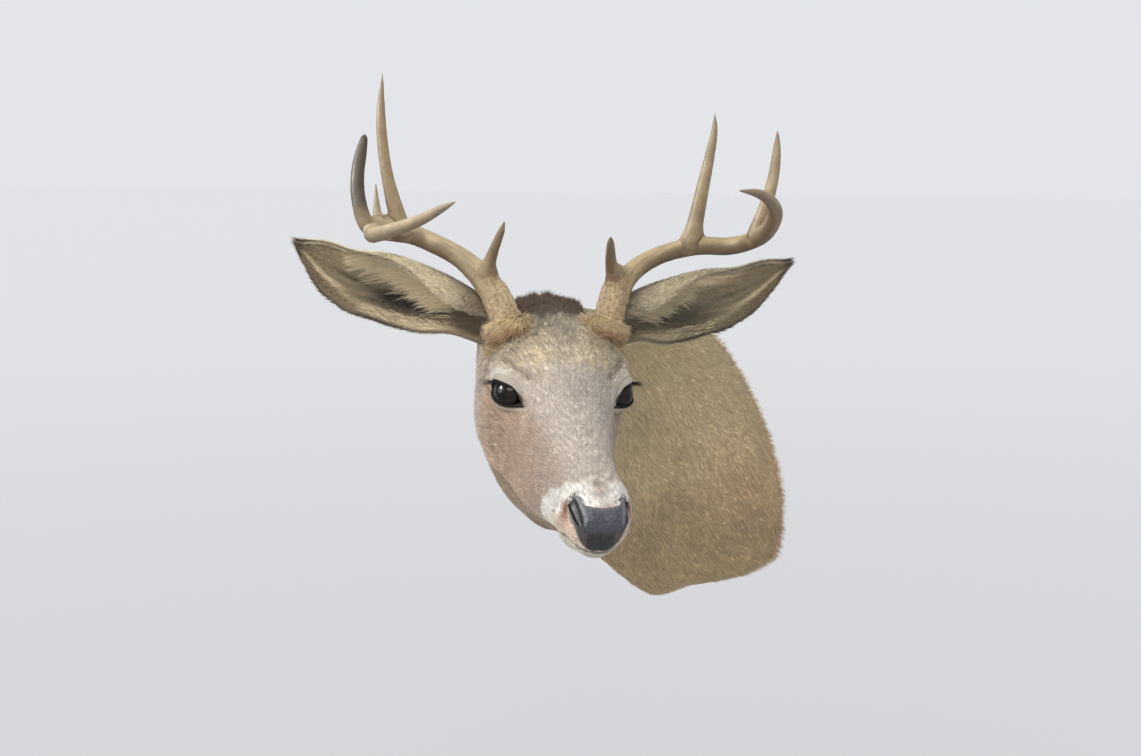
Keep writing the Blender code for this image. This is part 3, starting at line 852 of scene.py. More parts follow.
    def neck(self, world: Array, station: Array) -> Array:
        """Linear colours of the neck and shoulder coat.

        Args:
            world: Points in the row frame.
            station: Their stations.

        Returns:
            Olive tan that warms to the deer's left, with a darker low front, a pale lowest edge, and painted
            light that brightens it towards the top.
        """
        x, z = world[:, 0], world[:, 2]
        soft = mottle(world, 30, 8)
        colour = layered(plain("neck", len(z)), ("neck_grey", ease(-0.3, 1.0, soft) * 0.5))
        return layered(
            # Brighter towards the top: painted light from above.
            colour * (1 + 0.24 * ease(40, 120, z))[:, None],
            ("neck_warm", 0.5 * ease(10, 90, x) * ease(90, -30, z)),
            ("neck_low", ease(20, -90, z) * 0.75),
            ("brisket", ease(-85, -150, z) * 0.8),
            ("neck_grey", ease(110, 165, z) * 0.5),
            ("fringe", ease(410, 428, station) * 0.2),
            ("cream", 0.95 * ease(-112, -130, z + 6 * soft) * ease(404, 420, station) * ease(-60, -25, x)),
        )

    def at(self, station: Array, local: Array, world: Array) -> Array:
        """Linear colours anywhere on the hide."""
        return blend(self.head(local), self.neck(world, station), ease(70, 150, station))


MARKINGS = Markings()


# ---- Finishes ----


def coat_colour(tree: NodeTree, shader: Node, share: Node | None = None) -> None:
    """Colours a shader by its piece's own attribute "coat".

    Args:
        tree: Tree of the material.
        shader: Its Principled shader.
        share: Pattern that the colour is multiplied by.
    """
    coat = add_node(tree, "ShaderNodeAttribute", attribute_name="coat")
    if share is not None:
        coat = add_node(tree, "ShaderNodeVectorMath", {0: coat, "Scale": share}, operation="SCALE")
    tree.links.new(coat.outputs[0], shader.inputs["Base Color"])


@dataclass(frozen=True)
class DeerHair:
    """Deer hair: hollow, matt and slightly glossy along its length, so soft with a faint sheen."""

    name: str
    roughness: float
    sheen: float

    def mix(self) -> Material:
        """Makes the material, coloured lock by lock.

        Returns:
            The material.
        """
        material, tree, shader = new_material(self.name, Roughness=self.roughness, Sheen_Weight=self.sheen,
                                              Sheen_Roughness=0.5, Specular_IOR_Level=0.25)
        coat_colour(tree, shader)
        return material


@dataclass(frozen=True)
class TannedHide:
    """Hide with its undercoat: matt, and grained by hairs 0.9 mm apart."""

    hair_spacing: float = 0.9
    relief: float = 0.6

    def mix(self) -> Material:
        """Makes the material: noise as fine as the hairs darkens the colour and raises a relief.

        Returns:
            The material.
        """
        material, tree, shader = new_material("tanned_hide_undercoat", Roughness=0.9, Sheen_Weight=0.05,
                                              Specular_IOR_Level=0.15)
        place = add_node(tree, "ShaderNodeTexCoord")
        hairs = add_node(tree, "ShaderNodeTexNoise", {"Vector": place.outputs["Object"],
                                                      "Scale": 1 / (self.hair_spacing * MM), "Detail": 3.0})
        coat_colour(tree, shader, add_node(tree, "ShaderNodeMapRange", {
            "Value": hairs, "From Min": 0.3, "From Max": 0.7, "To Min": 0.6, "To Max": 1.0}))
        add_node(tree, "ShaderNodeBump", {"Height": hairs, "Strength": 0.6, "Distance": self.relief * MM},
                 into=shader.inputs["Normal"])
        return material


@dataclass(frozen=True)
class NoseLeather:
    """Bare nose skin: pebbles about 1.3 mm wide with fine creases, and a waxy half gloss."""

    pebble: float = 1.3
    crease: float = 0.5

    def mix(self) -> Material:
        """Makes the material: round cells for the pebbles, and noise for the creases between them.

        Returns:
            The material.
        """
        material, tree, shader = new_material("painted_nose_leather", Specular_IOR_Level=0.5,
                                              Coat_Weight=0.12, Coat_Roughness=0.3)
        place = add_node(tree, "ShaderNodeTexCoord").outputs["Object"]
        pebbles = add_node(tree, "ShaderNodeTexVoronoi", {"Vector": place, "Scale": 1 / (self.pebble * MM)})
        fine = add_node(tree, "ShaderNodeTexNoise", {"Vector": place, "Scale": 1 / (self.crease * MM)})
        add_node(tree, "ShaderNodeMapRange", {
            "Value": fine, "From Min": 0.3, "From Max": 0.7, "To Min": 0.38, "To Max": 0.58},
            into=shader.inputs["Roughness"])
        # Pebbles are paler in their middles and darker towards their edges: painted shade in the creases
        # between them.
        coat_colour(tree, shader, add_node(tree, "ShaderNodeMapRange", {
            "Value": pebbles, "From Min": 0.2, "From Max": 0.7, "To Min": 1.15, "To Max": 0.6}))
        round_pebbles = add_node(tree, "ShaderNodeBump", {"Height": pebbles, "Strength": 0.8,
                                                          "Distance": 0.5 * MM}, invert=True)
        add_node(tree, "ShaderNodeBump", {"Height": fine, "Strength": 0.3, "Distance": 0.2 * MM,
                                          "Normal": round_pebbles}, into=shader.inputs["Normal"])
        return material


@dataclass(frozen=True)
class GlassEye:
    """Taxidermist's glass eye: painted from behind, so the colour lies under clear polished glass."""

    polish: float = 0.03

    def mix(self) -> Material:
        """Makes the material: the paint has no gloss of its own, and the glass is its clear coat.

        Returns:
            The material.
        """
        material, tree, shader = new_material("painted_glass_eye", Roughness=0.4, Specular_IOR_Level=0.0,
                                              Coat_Weight=0.62, Coat_Roughness=self.polish, Coat_IOR=1.45)
        coat_colour(tree, shader)
        return material


@dataclass(frozen=True)
class AntlerBone:
    """Antler: dense bone, stained brown in its grooves and rubbed pale on its ridges."""

    stain: float = 9.0
    pore: float = 1.1
    relief: float = 0.3

    def mix(self) -> Material:
        """Makes the material: wide stains turn the gloss and, with the fine pores, the colour.

        Returns:
            The material.
        """
        material, tree, shader = new_material("rubbed_antler_bone", Specular_IOR_Level=0.45)
        place = add_node(tree, "ShaderNodeTexCoord").outputs["Object"]
        stain, fine = (
            add_node(tree, "ShaderNodeTexNoise", {"Vector": place, "Scale": 1 / (size * MM), "Detail": 3.0})
            for size in (self.stain, self.pore)
        )
        shade = add_node(tree, "ShaderNodeMapRange", {"Value": stain, "From Min": 0.3, "From Max": 0.7,
                                                      "To Min": 0.88, "To Max": 1.06})
        speck = add_node(tree, "ShaderNodeMapRange", {"Value": fine, "From Min": 0.35, "From Max": 0.6,
                                                      "To Min": 0.88, "To Max": 1.03})
        both = add_node(tree, "ShaderNodeMath", {0: shade, 1: speck}, operation="MULTIPLY")
        coat_colour(tree, shader, both)
        add_node(tree, "ShaderNodeMapRange", {"Value": stain, "To Min": 0.62, "To Max": 0.4},
                 into=shader.inputs["Roughness"])
        add_node(tree, "ShaderNodeBump", {"Height": fine, "Strength": 0.35, "Distance": self.relief * MM},
                 into=shader.inputs["Normal"])
        return material


@dataclass(frozen=True)
class BirchPlywood:
    """Sanded birch plywood: long faint grain along the board's height, its lines 2.5 mm apart."""

    grain: float = 2.5
    stretch: float = 0.06

    def mix(self) -> Material:
        """Makes the material: noise drawn out along the height, between two tones of wood.

        Returns:
            The material.
        """
        material, tree, shader = new_material("sanded_birch_plywood", Roughness=0.7)
        place = add_node(tree, "ShaderNodeTexCoord").outputs["Object"]
        drawn = add_node(tree, "ShaderNodeMapping", {"Vector": place, "Scale": (1.0, 1.0, self.stretch)})
        grain = add_node(tree, "ShaderNodeTexNoise", {"Vector": drawn, "Scale": 1 / (self.grain * MM),
                                                      "Detail": 4.0, "Distortion": 0.4})
        wood = add_node(tree, "ShaderNodeValToRGB", {"Fac": grain}, into=shader.inputs["Base Color"])
        for element, at, tone in zip(wood.color_ramp.elements, (0.3, 0.7), ("birch_dark", "birch_pale")):
            element.position, element.color = at, (*TONES[tone], 1)
        add_node(tree, "ShaderNodeBump", {"Height": grain, "Strength": 0.3, "Distance": 0.2 * MM},
                 into=shader.inputs["Normal"])
        return material


@dataclass(frozen=True)
class ZincSteel:
    """Zinc plated sheet steel: pale, with a fine spangle and soft scuffs."""

    spangle: float = 3.0

    def mix(self) -> Material:
        """Makes the material: the spangle turns the gloss.

        Returns:
            The material.
        """
        material, tree, shader = new_material("zinc_plated_sheet_steel", Metallic=1.0,
                                              Base_Color=(*TONES["zinc"], 1))
        place = add_node(tree, "ShaderNodeTexCoord").outputs["Object"]
        spangle = add_node(tree, "ShaderNodeTexNoise", {"Vector": place, "Scale": 1 / (self.spangle * MM),
                                                        "Detail": 3.0})
        add_node(tree, "ShaderNodeMapRange", {"Value": spangle, "To Min": 0.3, "To Max": 0.55},
                 into=shader.inputs["Roughness"])
        return material


@dataclass(frozen=True)
class Finishes:
    """Materials of the mount, each named for the real one."""

    coat: Material
    hide: Material
    nose: Material
    glass: Material
    antler: Material
    lash: Material
    plywood: Material
    steel: Material

    @classmethod
    def mix(cls) -> Finishes:
        """Makes every finish once."""
        return cls(coat=DeerHair("short_deer_hair", 0.8, 0.08).mix(), hide=TannedHide().mix(),
                   nose=NoseLeather().mix(), glass=GlassEye().mix(), antler=AntlerBone().mix(),
                   lash=DeerHair("black_lash_hair", 0.45, 0.0).mix(), plywood=BirchPlywood().mix(),
                   steel=ZincSteel().mix())


@dataclass(frozen=True)
class SubAssembly:
    """Part of the mount that makes its own pieces and dresses them in the mount's finishes."""

    finishes: Finishes


# ---- Skin of the head, neck and shoulders ----


@dataclass(frozen=True)
class NoseForm:
    """Bare pad of the nose and its comma nostrils, in head axes seen from the front."""

    front: float = -163.0
    top: float = 2.0
    bottom: float = -36.8
    outline: tuple = ((-37.5, 0), (-37, 6), (-35, 10.5), (-32, 13.5), (-28, 16.5), (-22, 19.3), (-18, 21),
                      (-13, 23), (-8, 24), (-3, 23.6), (0, 21.5), (2, 18))
    nostril: tuple = ((21.8, -2.0), (21.4, -5.0), (20.2, -8.5), (17.6, -12.5), (14.4, -16.0), (11.5, -18.0))
    nostril_width: tuple = (4.2, 4.8, 3.8, 1.8, 1.0, 0.7)
    nostril_depth: tuple = (10.0, 12.0, 8.0, 1.6, 0.6, 0.2)
    left_shift: float = 3.4

    def inside(self, x: Array, z: Array) -> Array:
        """How far inside the pad's outline a place is, in mm, negative outside."""
        half = np.interp(z, *np.array(self.outline, float).T)
        return np.minimum(np.minimum(half - np.abs(x), self.top - z), z - self.bottom)

    def pad(self, head_points: Array) -> Array:
        """The same for points in head axes, and well outside for those behind the pad's front."""
        inside = self.inside(head_points[:, 0], head_points[:, 2])
        return np.where(head_points[:, 1] < self.front, inside, -9.0)

    def nostrils(self, x: Array, z: Array) -> tuple[Array, Array]:
        """Finds the nearer nostril.

        Args:
            x: Places across, in mm.
            z: Heights, in mm.

        Returns:
            Distance from the nostril's line over its half width, and the line's depth there.
        """
        knots, fine = np.arange(len(self.nostril)), np.linspace(0, len(self.nostril) - 1, 60)
        line = np.column_stack([self.nostril, self.nostril_width, self.nostril_depth])
        path_x, path_z, width, depth = (np.interp(fine, knots, column) for column in line.T)
        across = np.where(x > 0, x - self.left_shift, -x)
        away = np.hypot(across[:, None] - path_x, z[:, None] - path_z) / width
        return away.min(1), depth[away.argmin(1)]


NOSE = NoseForm()


@dataclass(frozen=True)
class MouthForm:
    """Closed mouth: the line between the lips, in head axes."""

    corner: float = -104.0
    half_width: float = 1.7
    depth: float = 3.2

    def line(self, local: Array) -> Array:
        """Height of the lip line at each point.

        Args:
            local: Points in section or head axes.

        Returns:
            The height at each.
        """
        x, y = np.abs(local[:, 0]), local[:, 1]
        side = -33.0 - 0.26 * (y + 178)
        front = -40.6 + 7.5 * (x / 24) ** 2
        return front + (side - front) * ease(-184, -172, y)

    def groove(self, local: Array) -> Array:
        """Depth share of the mouth line, 1 in its middle."""
        return bell(local[:, 2], self.line(local), self.half_width) * ease(self.corner, self.corner - 8,
                                                                          local[:, 1])


MOUTH = MouthForm()


@dataclass(frozen=True)
class HideSkin(SubAssembly):
    """The one skin of the head, neck and shoulders, inside the coat's tips by the coat's depth."""

    columns: int = 288
    face_step: float = 1.55
    neck_step: float = 4.0
    edge_inset: float = 7.7
    board_clearance: float = 18.7
    wall_gap: float = 0.2
    socket_depth: float = 15.0

    @staticmethod
    def depth(station: Array) -> Array:
        """Depth of the coat in mm: thinnest on the muzzle and thickest on the neck."""
        depth = 0.7 + 1.5 * ease(-170, -120, station) + 0.8 * ease(-20, 60, station)
        return depth + 1.4 * ease(100, 200, station)

    @classmethod
    def inset(cls, station: Array, angle: Array) -> tuple[Array, Array, Array, Array, Array]:
        """Skin point, outward normal, lie to the back, direction round, and place in section axes.

        The skin is the outer form moved in along its normal by the coat's depth, and then by the
        relief: folds over the eyes, the jaw fold and the lip line.

        Args:
            station: Station of each point.
            angle: Angle of each point round its section.

        Returns:
            The five arrays, each (N, 3).
        """
        points, normal, back, around = HIDE.frame_at(station, angle)
        local = HIDE.local(station, angle)
        relief = -MOUTH.depth * MOUTH.groove(local) * ease(-104, -112, station)
        fold = local[:, 2] - MARKINGS.jaw_height(local[:, 1])
        relief -= 2.4 * bell(fold, -2.0, 2.8) * ease(-120, -104, station) * ease(34, 8, station)
        relief -= 1.1 * MARKINGS.brow_crease(local) * ease(60, 40, station)
        eye = EYE.to_eye(local)
        near, rise, ahead = EYE.nearness(eye), eye[:, 1], ease(-2, 6, eye[:, 2])
        slant = eye[:, 0] + 0.25 * rise
        relief -= 0.9 * bell(near, 2.35, 0.13) * ease(4, 10, rise)
        relief -= 0.63 * bell(near, 2.75, 0.12) * ease(6, 12, rise)
        relief -= 1.3 * bell(slant, -31.5, 1.8) * bell(rise, -8, 8) * ahead
        relief += 0.9 * bell(slant, -35.5, 2.6) * bell(rise, -7, 8) * ahead
        relief += 0.35 * mottle(points, 22, 21) * ease(120, 180, station) * ease(400, 380, station)
        skin = points + normal * (relief - cls.depth(station))[:, None]
        return skin, normal, back, around, local

    @classmethod
    def surface(cls, station: Array, angle: Array) -> tuple[Array, Array, Array]:
        """Skin points with the sockets and nose sunk under their own patches, section axes, world.

        Args:
            station: Station of each point.
            angle: Angle of each point round its section.

        Returns:
            The three arrays, each (N, 3).
        """
        skin, _, _, _, local = cls.inset(station, angle)
        head_turn = HIDE.head_turn
        near = EYE.nearness(EYE.to_eye(local))
        gaze = EYE.axes[2] * np.stack([np.sign(local[:, 0]), np.ones(len(local)), np.ones(len(local))], -1)
        socket = np.where(station < 60, ease(1.75, 0.95, near), 0)
        skin = skin - (gaze @ head_turn.T) * (cls.socket_depth * socket)[:, None]
        under_pad = ease(-0.5, 2.5, NOSE.pad(local))
        near_hole, hole_depth = NOSE.nostrils(local[:, 0], local[:, 2])
        hole = (hole_depth + 3) * ease(2.2, 0.9, near_hole) * (local[:, 1] < NOSE.front)
        skin = skin + head_turn[:, 1] * (3.0 * under_pad + hole)[:, None]
        return skin, local, HIDE.points(station, angle)

    def stations(self) -> Array:
        """Stations of the rows, close on the face and wider apart on the neck.

        Returns:
            The stations, from the nose to the wall.
        """
        turn = np.linspace(0, 1, 30)[1:-1]
        nose = HIDE.muzzle_start - HIDE.muzzle_depth * turn[::-1]
        face = np.arange(HIDE.muzzle_start, 118, self.face_step)
        neck = np.arange(face[-1] + self.face_step, HIDE.wall_station, self.neck_step)
        return np.concatenate([nose, face, neck, [HIDE.wall_station]])

    def build(self) -> Object:
        """Makes the skin, closed at the nose and behind the board.

        Returns:
            The object.
        """
        stations = self.stations()
        angles = np.linspace(0, 2 * math.pi, self.columns, endpoint=False)
        rows, columns = len(stations), self.columns
        station, angle = np.repeat(stations, columns), np.tile(angles, rows)
        skin, local, world = self.surface(station, angle)
        colours = MARKINGS.at(station, local, world) * (1.0 + 0.45 * ease(80, 150, station))[:, None]
        colours *= np.exp(MARKINGS.grizzle(world, station))[:, None]
        colours = blend(colours, TONES["dark_skin"], 0.9 * bell(local[:, 2], MOUTH.line(local), 1.6)
                        * ease(-104, -112, station))
        edge = skin.reshape(rows, columns, 3)[-1]
        middle_x, middle_z = HIDE.common_reach(np.zeros(1))[0]
        middle = np.array([middle_x, edge[:, 1].mean(), middle_z])
        turns = np.arctan2(edge[:, 2] - middle_z, edge[:, 0] - middle_x)
        _, reach = HIDE.common_reach(turns)
        round_about = np.stack([np.cos(turns), 0 * turns, np.sin(turns)], -1)
        back_rows = [edge - round_about * 1.5]
        for drawn_in, ahead in ((0, 0), (0, self.board_clearance), (25, self.board_clearance)):
            arms = round_about * (reach - self.edge_inset - drawn_in)[:, None]
            back_rows.append(middle + arms - (0, ahead, 0))
        points = np.concatenate([skin, *back_rows])
        rows += len(back_rows)
        pole_skin = self.surface(np.array([HIDE.pole_station + 0.4]), np.array([0.0]))[0]
        pole_skin = points[:columns].mean(0, keepdims=True) * 0.5 + pole_skin * 0.5
        points = np.concatenate([points, pole_skin, [middle - (0, self.board_clearance, 0)]])
        points[:, 1] = np.minimum(points[:, 1], -self.wall_gap)
        back_colour = np.tile(TONES["cream"] * 0.6, (len(back_rows) * columns, 1))
        colours = np.concatenate([colours, back_colour, colours[:1], back_colour[:1]])
        first, last = np.arange(columns), np.arange((rows - 1) * columns, rows * columns)
        triangles = np.concatenate([
            grid_triangles(rows, columns, wrap=True, flip=True),
            fan_triangles(first, rows * columns, flip=True),
            fan_triangles(last, rows * columns + 1),
        ])
        piece = new_piece("hide_skin", points, triangles, self.finishes.hide, colours)
        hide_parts("cranium", "muzzle", "lower_jaw", "neck", "shoulder_left", "shoulder_right",
                    "brisket")
        return piece


@dataclass(frozen=True)
class NosePad(SubAssembly):
    """Bare leather pad of the nose as one fine patch, with its nostrils sunk in."""

    rings: int = 60
    columns: int = 168
    middle: tuple = (0.0, -17.0)
    margin: float = 1.2
    tuck: float = 5.0
    samples: int = 13000

    def build(self) -> Object:
        """Makes the patch.

        Rings are the pad's outline drawn towards its middle. The height is the hide's front, raised
        in the middle, with two wings over the nostrils, a shallow groove below, and the nostrils
        sunk in by their depth. The outer ring turns back under the fur.

        Returns:
            The object.
        """
        share = np.linspace(1, 0.02, self.rings)[:, None]
        across, up, reach = self.spots(share)
        spots = np.stack([across, up], -1)
        y = self.front().at(spots)
        rim = np.repeat((1 - share[:, 0]) * reach.mean(), self.columns)
        near, depth = NOSE.nostrils(across, up)
        lip = 0.7 * bell(near, 1.55, 0.4) * ease(0.6, 3.0, depth)
        wing = 1.6 * bell(np.abs(across), 12, 6) * bell(up, -6, 6)
        groove = 0.9 * bell(across, 0, 1.3) * ease(-10, -20, up)
        dip = 0.7 * bell(across, 0, 5) * bell(up, -1, 6)
        fine = 0.16 * mottle(np.stack([across, y, up], -1), 1.6, 31)
        proud = ease(0, 2.6, rim) * 2.1 - 1.9
        y = y - (proud + lip + wing - groove - dip + fine * ease(2, 5, rim)) + depth * ease(1.0, 0.35, near)
        head = np.stack([across, y, up], -1)
        centre = head[-self.columns:].mean(0, keepdims=True)
        points = HIDE.to_world(np.concatenate([head[:self.columns] + (0, self.tuck, 0), head, centre]))
        colour = self.colour(head, near, depth)
        last = self.rings * self.columns
        triangles = np.concatenate([
            grid_triangles(self.rings + 1, self.columns, wrap=True),
            fan_triangles(np.arange(last, last + self.columns), last + self.columns, flip=True),
        ])
        piece = new_piece("nose_leather", points, triangles, self.finishes.nose,
                          np.concatenate([colour[:self.columns], colour, colour[-1:]]))
        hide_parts("nose")
        return piece

    def front(self) -> HeightField:
        """Height of the hide's front over the pad, from points on a fine spiral round the muzzle.

        Returns:
            The height field.
        """
        s = np.arange(1, self.samples) / self.samples
        station = HIDE.muzzle_start + 8 - (HIDE.muzzle_depth + 7.9) * np.mod(s * 251.0, 1.0)
        head = HIDE.to_head(HIDE.points(station, 2 * math.pi * s))
        return HeightField(head[:, [0, 2]], head[:, 1], 1.5)

    def spots(self, share: Array) -> tuple[Array, Array, Array]:
        """Places of the rings' vertices.

        Args:
            share: Size of each ring over the outline's.

        Returns:
            Places across and up, ring by ring, and the outline's reach in every direction.
        """
        theta = np.linspace(0, 2 * math.pi, self.columns, endpoint=False)
        steps = np.linspace(0, 32, 400)
        ray_x = self.middle[0] + np.cos(theta)[:, None] * steps
        ray_z = self.middle[1] + np.sin(theta)[:, None] * steps
        reach = steps[(NOSE.inside(ray_x, ray_z) > 0).sum(1) - 1] + self.margin
        reach = (np.roll(reach, 1) + np.roll(reach, -1) + 2 * reach) / 4
        x = self.middle[0] + share * np.cos(theta) * reach
        z = self.middle[1] + share * np.sin(theta) * reach
        return x.ravel(), z.ravel(), reach

    @staticmethod
    def colour(head: Array, near: Array, depth: Array) -> Array:
        """Linear colours of the leather.

        Args:
            head: Points of the patch in head axes.
            near: Distance from the nostril's line over its half width.
            depth: The nostril's depth there.

        Returns:
            Near black with a painted blue grey sheen over the upper part, and pale rims round black
            nostrils.
        """
        across, up = np.abs(head[:, 0]), head[:, 2]
        pit = ease(1.3, 0.85, near) * ease(1.0, 3.0, depth)
        line = np.array(NOSE.nostril)[::-1]
        inner = ease(-1.5, 1.5, np.interp(up, line[:, 1], line[:, 0]) - across)
        grains = np.exp(0.26 * mottle(head, 1.3, 32) + 0.12 * mottle(head, 3.2, 33))
        return layered(
            # The blue grey over the upper pad is a painted sheen: the pale room reflected in the waxy
            # leather.
            layered(plain("nose", len(head)), ("nose_painted_sheen", 0.85 * ease(-23, -11, up))) * grains[:, None],
            ("nose_rim", 0.4 * bell(near, 1.5, 0.28) * ease(1.5, 5.0, depth) * inner),
            ("nose_crease", 0.6 * ease(1.1, 1.5, near) * (1 - inner)),
            ("nostril", np.clip(1.3 * pit, 0, 1)),
            ("nose_edge", 0.45 * ease(1.8, 0.3, NOSE.inside(across, up)) * (1 - pit)),
        )


@dataclass(frozen=True)
class Eye(SubAssembly):
    """One glass eye with its lids, tear duct and lashes."""

    side: Side
    columns: int = 120
    ball_rows: int = 64
    lid_rows: int = 30
    wall_rows: int = 7
    cornea: float = 0.9
    pupil: tuple = (7.4, 4.4)
    pupil_rise: float = 3.0
    lash_count: int = 90

    def ball(self) -> Object:
        """Glass eye: a sphere with a low cornea, an oval pupil and a streaked dark iris.

        Returns:
            The object.
        """
        polar = np.linspace(0, math.pi, self.ball_rows)[1:-1]
        turn = np.linspace(0, 2 * math.pi, self.columns, endpoint=False)
        a, b = np.repeat(polar, self.columns), np.tile(turn, len(polar))
        sphere = np.stack([np.sin(a) * np.cos(b), np.sin(a) * np.sin(b), np.cos(a)], -1)
        eye = sphere * (EYE.radius + self.cornea * bell(a, 0, 0.55))[:, None]
        eye = np.concatenate([eye, [(0, 0, EYE.radius + self.cornea)], [(0, 0, -EYE.radius)]])
        h, v = eye[:, 0], eye[:, 1]
        streaks = 0.5 + 0.5 * np.sin(19 * np.arctan2(v, h) + 2 * np.sin(7 * np.arctan2(v, h)))
        colour = layered(
            plain("iris", len(eye)),
            ("iris_streak", 0.5 * streaks),
            ("iris_rim", ease(10.5, 13.5, np.hypot(h, v - self.pupil_rise))),
            ("pupil", ease(1.08, 0.92, np.hypot(h / self.pupil[0], (v - self.pupil_rise) / self.pupil[1]))),
        )
        last = len(polar) * self.columns
        triangles = np.concatenate([
            grid_triangles(len(polar), self.columns, wrap=True, flip=True),
            fan_triangles(np.arange(self.columns), last, flip=True),
            fan_triangles(np.arange(last - self.columns, last), last + 1),
        ])
        name = f"eye_{self.side.word}"
        piece = new_piece(f"glass_{name}", HIDE.to_world(EYE.to_head(eye, self.side)),
                          triangles[:, ::self.side.value], self.finishes.glass, colour)
        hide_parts(name)
        return piece

    def field(self) -> HeightField:
        """Height of the skin over the eye's plane.

        Returns:
            The height field, in eye axes.
        """
        station, angle = np.meshgrid(np.arange(-62, 52, 0.9), np.arange(-0.9, 1.1, 0.0125), indexing="ij")
        skin, _, _, _, _ = HideSkin.inset(station.ravel(), angle.ravel())
        eye = EYE.to_eye(HIDE.to_head(skin))
        near = (np.abs(eye[:, 0] - EYE.slit_middle) < 42) & (np.abs(eye[:, 1]) < 32)
        return HeightField(eye[near][:, :2], eye[near][:, 2], 1.8)

    def lids(self, field: HeightField) -> Object:
        """Lids from the skin to the rim, and the wall behind the rim down to the ball.

        A row at share t of the lid lies between the rim (t = 0) and the skin (t = 1). Its height is
        the skin's, drawn to the rim's height as t falls, and never less than the ball's plus the
        lid's thickness. The upper lid has a crease a third of the way up. Behind the rim the wall
        closes on the ball, or on the duct's floor.

        Args:
            field: Height of the skin over the plane of the eye.

        Returns:
            The object.
        """
        theta = np.linspace(0, 2 * math.pi, self.columns, endpoint=False)
        rim = EYE.rim(theta)
        ball_rim = EYE.ball_height(rim, EYE.radius + 1.3)
        plane = EYE.rim_plane(rim[:, 0])
        rim_height = 0.5 * (ball_rim + plane + np.sqrt((ball_rim - plane) ** 2 + 4))
        outer = rim + unit(rim * (0.55, 1.0) - np.array([EYE.slit_middle, 0]) * (0.55, 1)) * EYE.lid_reach
        share = np.linspace(1, 0, self.lid_rows) ** 1.3
        t = np.repeat(share, self.columns)
        spots = (share[:, None, None] * (outer - rim) + rim).reshape(-1, 2)
        skin = field.at(spots)
        upper = np.tile(ease(-0.2, 0.5, np.sin(theta)), self.lid_rows)
        edge = np.tile(rim_height, self.lid_rows)
        weight = ease(0, 0.85, t)
        height = edge * (1 - weight) + skin * weight
        over_ball = EYE.ball_height(spots, EYE.radius + 1.5)
        gap = height - over_ball
        height = over_ball + 0.5 * (gap + np.sqrt(gap ** 2 + 1.2))
        height += 1.5 * upper * bell(t, 0.17, 0.12) - 1.5 * upper * bell(t, 0.40, 0.07)
        height += 0.7 * (1 - upper) * bell(t, 0.12, 0.09) - 0.5 * (1 - upper) * bell(t, 0.34, 0.08)
        height -= 1.6 * ease(0.86, 1.0, t)
        lid = np.column_stack([spots, height])
        back = np.linspace(0, 1, self.wall_rows + 1)[1:]
        b = np.repeat(back, self.columns)
        floor_h = EYE.slit_middle + (rim[:, 0] - EYE.slit_middle) * 0.80
        floor_spots = np.stack([floor_h, rim[:, 1] * 0.72], -1)
        floor_height = np.maximum(EYE.ball_height(floor_spots, EYE.radius - 0.8), plane - 4.5)
        start = np.column_stack([rim, rim_height])
        stop = np.column_stack([floor_spots, floor_height])
        wall = (back[:, None, None] * (stop - start) + start).reshape(-1, 3)
        wall[:, 2] -= 1.2 * np.sin(b * math.pi)
        eye = np.concatenate([lid, wall])
        local = EYE.to_head(eye, self.side)
        bare = np.concatenate([ease(0.20, 0.10, t), np.ones(len(b))])
        colour = layered(MARKINGS.head(local) * 0.8, ("dark_skin", bare),
                         ("lid_edge", np.concatenate([np.zeros(len(t)), ease(0, 0.3, b)])))
        triangles = grid_triangles(self.lid_rows + self.wall_rows, self.columns, wrap=True)
        return new_piece(f"eyelids_{self.side.word}", HIDE.to_world(local), triangles[:, ::self.side.value],
                         self.finishes.hide, colour)

    def lashes(self, rng: np.random.Generator) -> Object:
        """Long dark lashes on the outer half of the upper lid, drooping outwards.

        Args:
            rng: Source of chance.

        Returns:
            The object.
        """
        count = self.lash_count
        theta = rng.uniform(0.12, 1.9, count)
        rim = EYE.rim(theta)
        height = np.maximum(EYE.ball_height(rim, EYE.radius + 1.6), EYE.rim_plane(rim[:, 0]))
        root = EYE.to_head(np.column_stack([rim, height]), Side.LEFT)
        out = unit(np.stack([rng.normal(1.0, 0.08, count), rng.normal(0.1, 0.22, count),
                             rng.normal(0.0, 0.09, count)], -1))
        length = rng.uniform(8, 18, count) * ease(2.2, 0.5, theta) ** 0.5
        sag = rng.uniform(-0.28, -0.12, count)
        share = np.array([0, 0.3, 0.62, 1.0])
        path = root[:, None] + out[:, None] * (length[:, None] * share)[..., None]
        path[:, :, 2] += (sag * length)[:, None] * share * (1.6 - share)
        path *= (self.side.value, 1, 1)
        width = np.tile([0.26, 0.21, 0.14], (count, 1))
        strands = Strands(HIDE.to_world(path.reshape(-1, 3)).reshape(path.shape), width,
                          np.tile([0.0, 0.0, 1.0], (count, 1)))
        colour = plain("lash", count)
        return strands.build(f"lashes_{self.side.word}", self.finishes.lash, "short_deer_fur",
                             colour, colour, rng.uniform(0.05, 0.95, (count, 2)))


# ---- Hair ----


